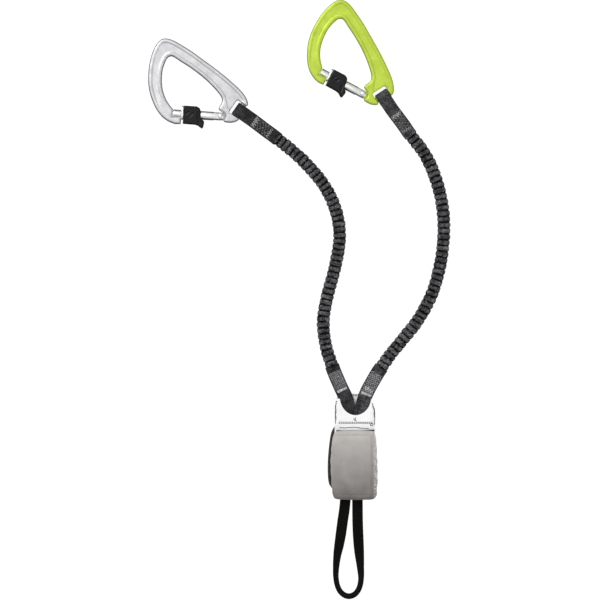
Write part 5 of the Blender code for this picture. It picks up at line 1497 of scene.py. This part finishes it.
# Three loose stitches at the neck, a small box of stitches, and a short row on the back ply's top
NECK_STITCHES = (((0.0012, 0.0520), (0.0012, 0.0488)), ((-0.0006, 0.0508), (0.0002, 0.0492)),
                 ((0.0012, 0.0488), (0.0026, 0.0482)))
STITCHED_BOX = ((0.0180, 0.0430), (0.0208, 0.0430), (0.0208, 0.0452), (0.0180, 0.0452), (0.0180, 0.0430))
tab_seams += [(on_tab(*first), on_tab(*last)) for first, last in NECK_STITCHES]
tab_seams += dashes([on_tab(x, y) for x, y in STITCHED_BOX], share=0.85)
back_face = STRAP_LEVEL - TAB_RISE + TAB_CLOTH
for x in np.linspace(-0.0036, 0.0046, 6):
    tab_seams.append((Vector((x, 0.0775, back_face)), Vector((x, 0.0752, back_face))))
SEAM_THREAD = thread_material("charcoal_seam_thread", "141416", "4c4c50")
sewn("tab_seams", tab_seams, SEAM_THREAD, "absorber", radius=0.00038, arch=0.0002)
sewn("tab_side_seams", side_seams, SEAM_THREAD, "absorber", radius=0.00055, arch=0.0002)


# Tie-in loop
# The loop that a harness is girth-hitched with is one black woven tape. It comes out flat from the pouch and
# turns on edge in its round end.

TIE_HALF, TIE_THICKNESS = 0.00585, 0.0024
# The loop's middle line from the pouch round its end and back, with the tape's turn on edge in degrees
TIE_ROUTE = (
    (-0.0094, -0.0301, 0.0130, 0), (-0.0096, -0.0380, 0.0130, 0), (-0.0105, -0.0480, 0.0128, 0),
    (-0.0124, -0.0610, 0.0120, 0), (-0.0143, -0.0750, 0.0104, 8), (-0.0163, -0.0880, 0.0088, 26),
    (-0.0184, -0.1000, 0.0076, 46), (-0.0197, -0.1130, 0.0068, 60), (-0.0198, -0.1250, 0.0064, 67),
    (-0.0173, -0.1357, 0.0062, 68), (-0.0125, -0.1423, 0.0062, 68), (-0.0058, -0.1449, 0.0062, 68),
    (0.0010, -0.1425, 0.0062, 68), (0.0056, -0.1361, 0.0062, 68), (0.0077, -0.1260, 0.0064, 66),
    (0.0070, -0.1120, 0.0070, 52), (0.0059, -0.0990, 0.0080, 32), (0.0050, -0.0860, 0.0094, 12),
    (0.0043, -0.0730, 0.0108, 0), (0.0039, -0.0600, 0.0121, 0), (0.0038, -0.0480, 0.0128, 0),
    (0.0037, -0.0380, 0.0130, 0), (0.0036, -0.0301, 0.0130, 0))
TIE_STEPS = 8
TIE_WEBBING = webbing_material("black_polyamide_tape", "020201", "100d0a", relief=0.6)

tie_line = smooth_line([point[:3] for point in TIE_ROUTE], TIE_STEPS)
twists = np.radians(np.interp(np.arange(len(tie_line)) / TIE_STEPS, np.arange(len(TIE_ROUTE)),
                              [point[3] for point in TIE_ROUTE]))
tie_sides = [Vector(level).normalized() * math.cos(twist) + Vector((0, 0, math.sin(twist)))
             for level, twist in zip(level_sides(tie_line), twists)]
tie = ribbon("tie_in_webbing", tie_line, tie_sides, ply_section(TIE_HALF, TIE_THICKNESS), TIE_WEBBING)
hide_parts("tie_in_loop")
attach(tie, "absorber")
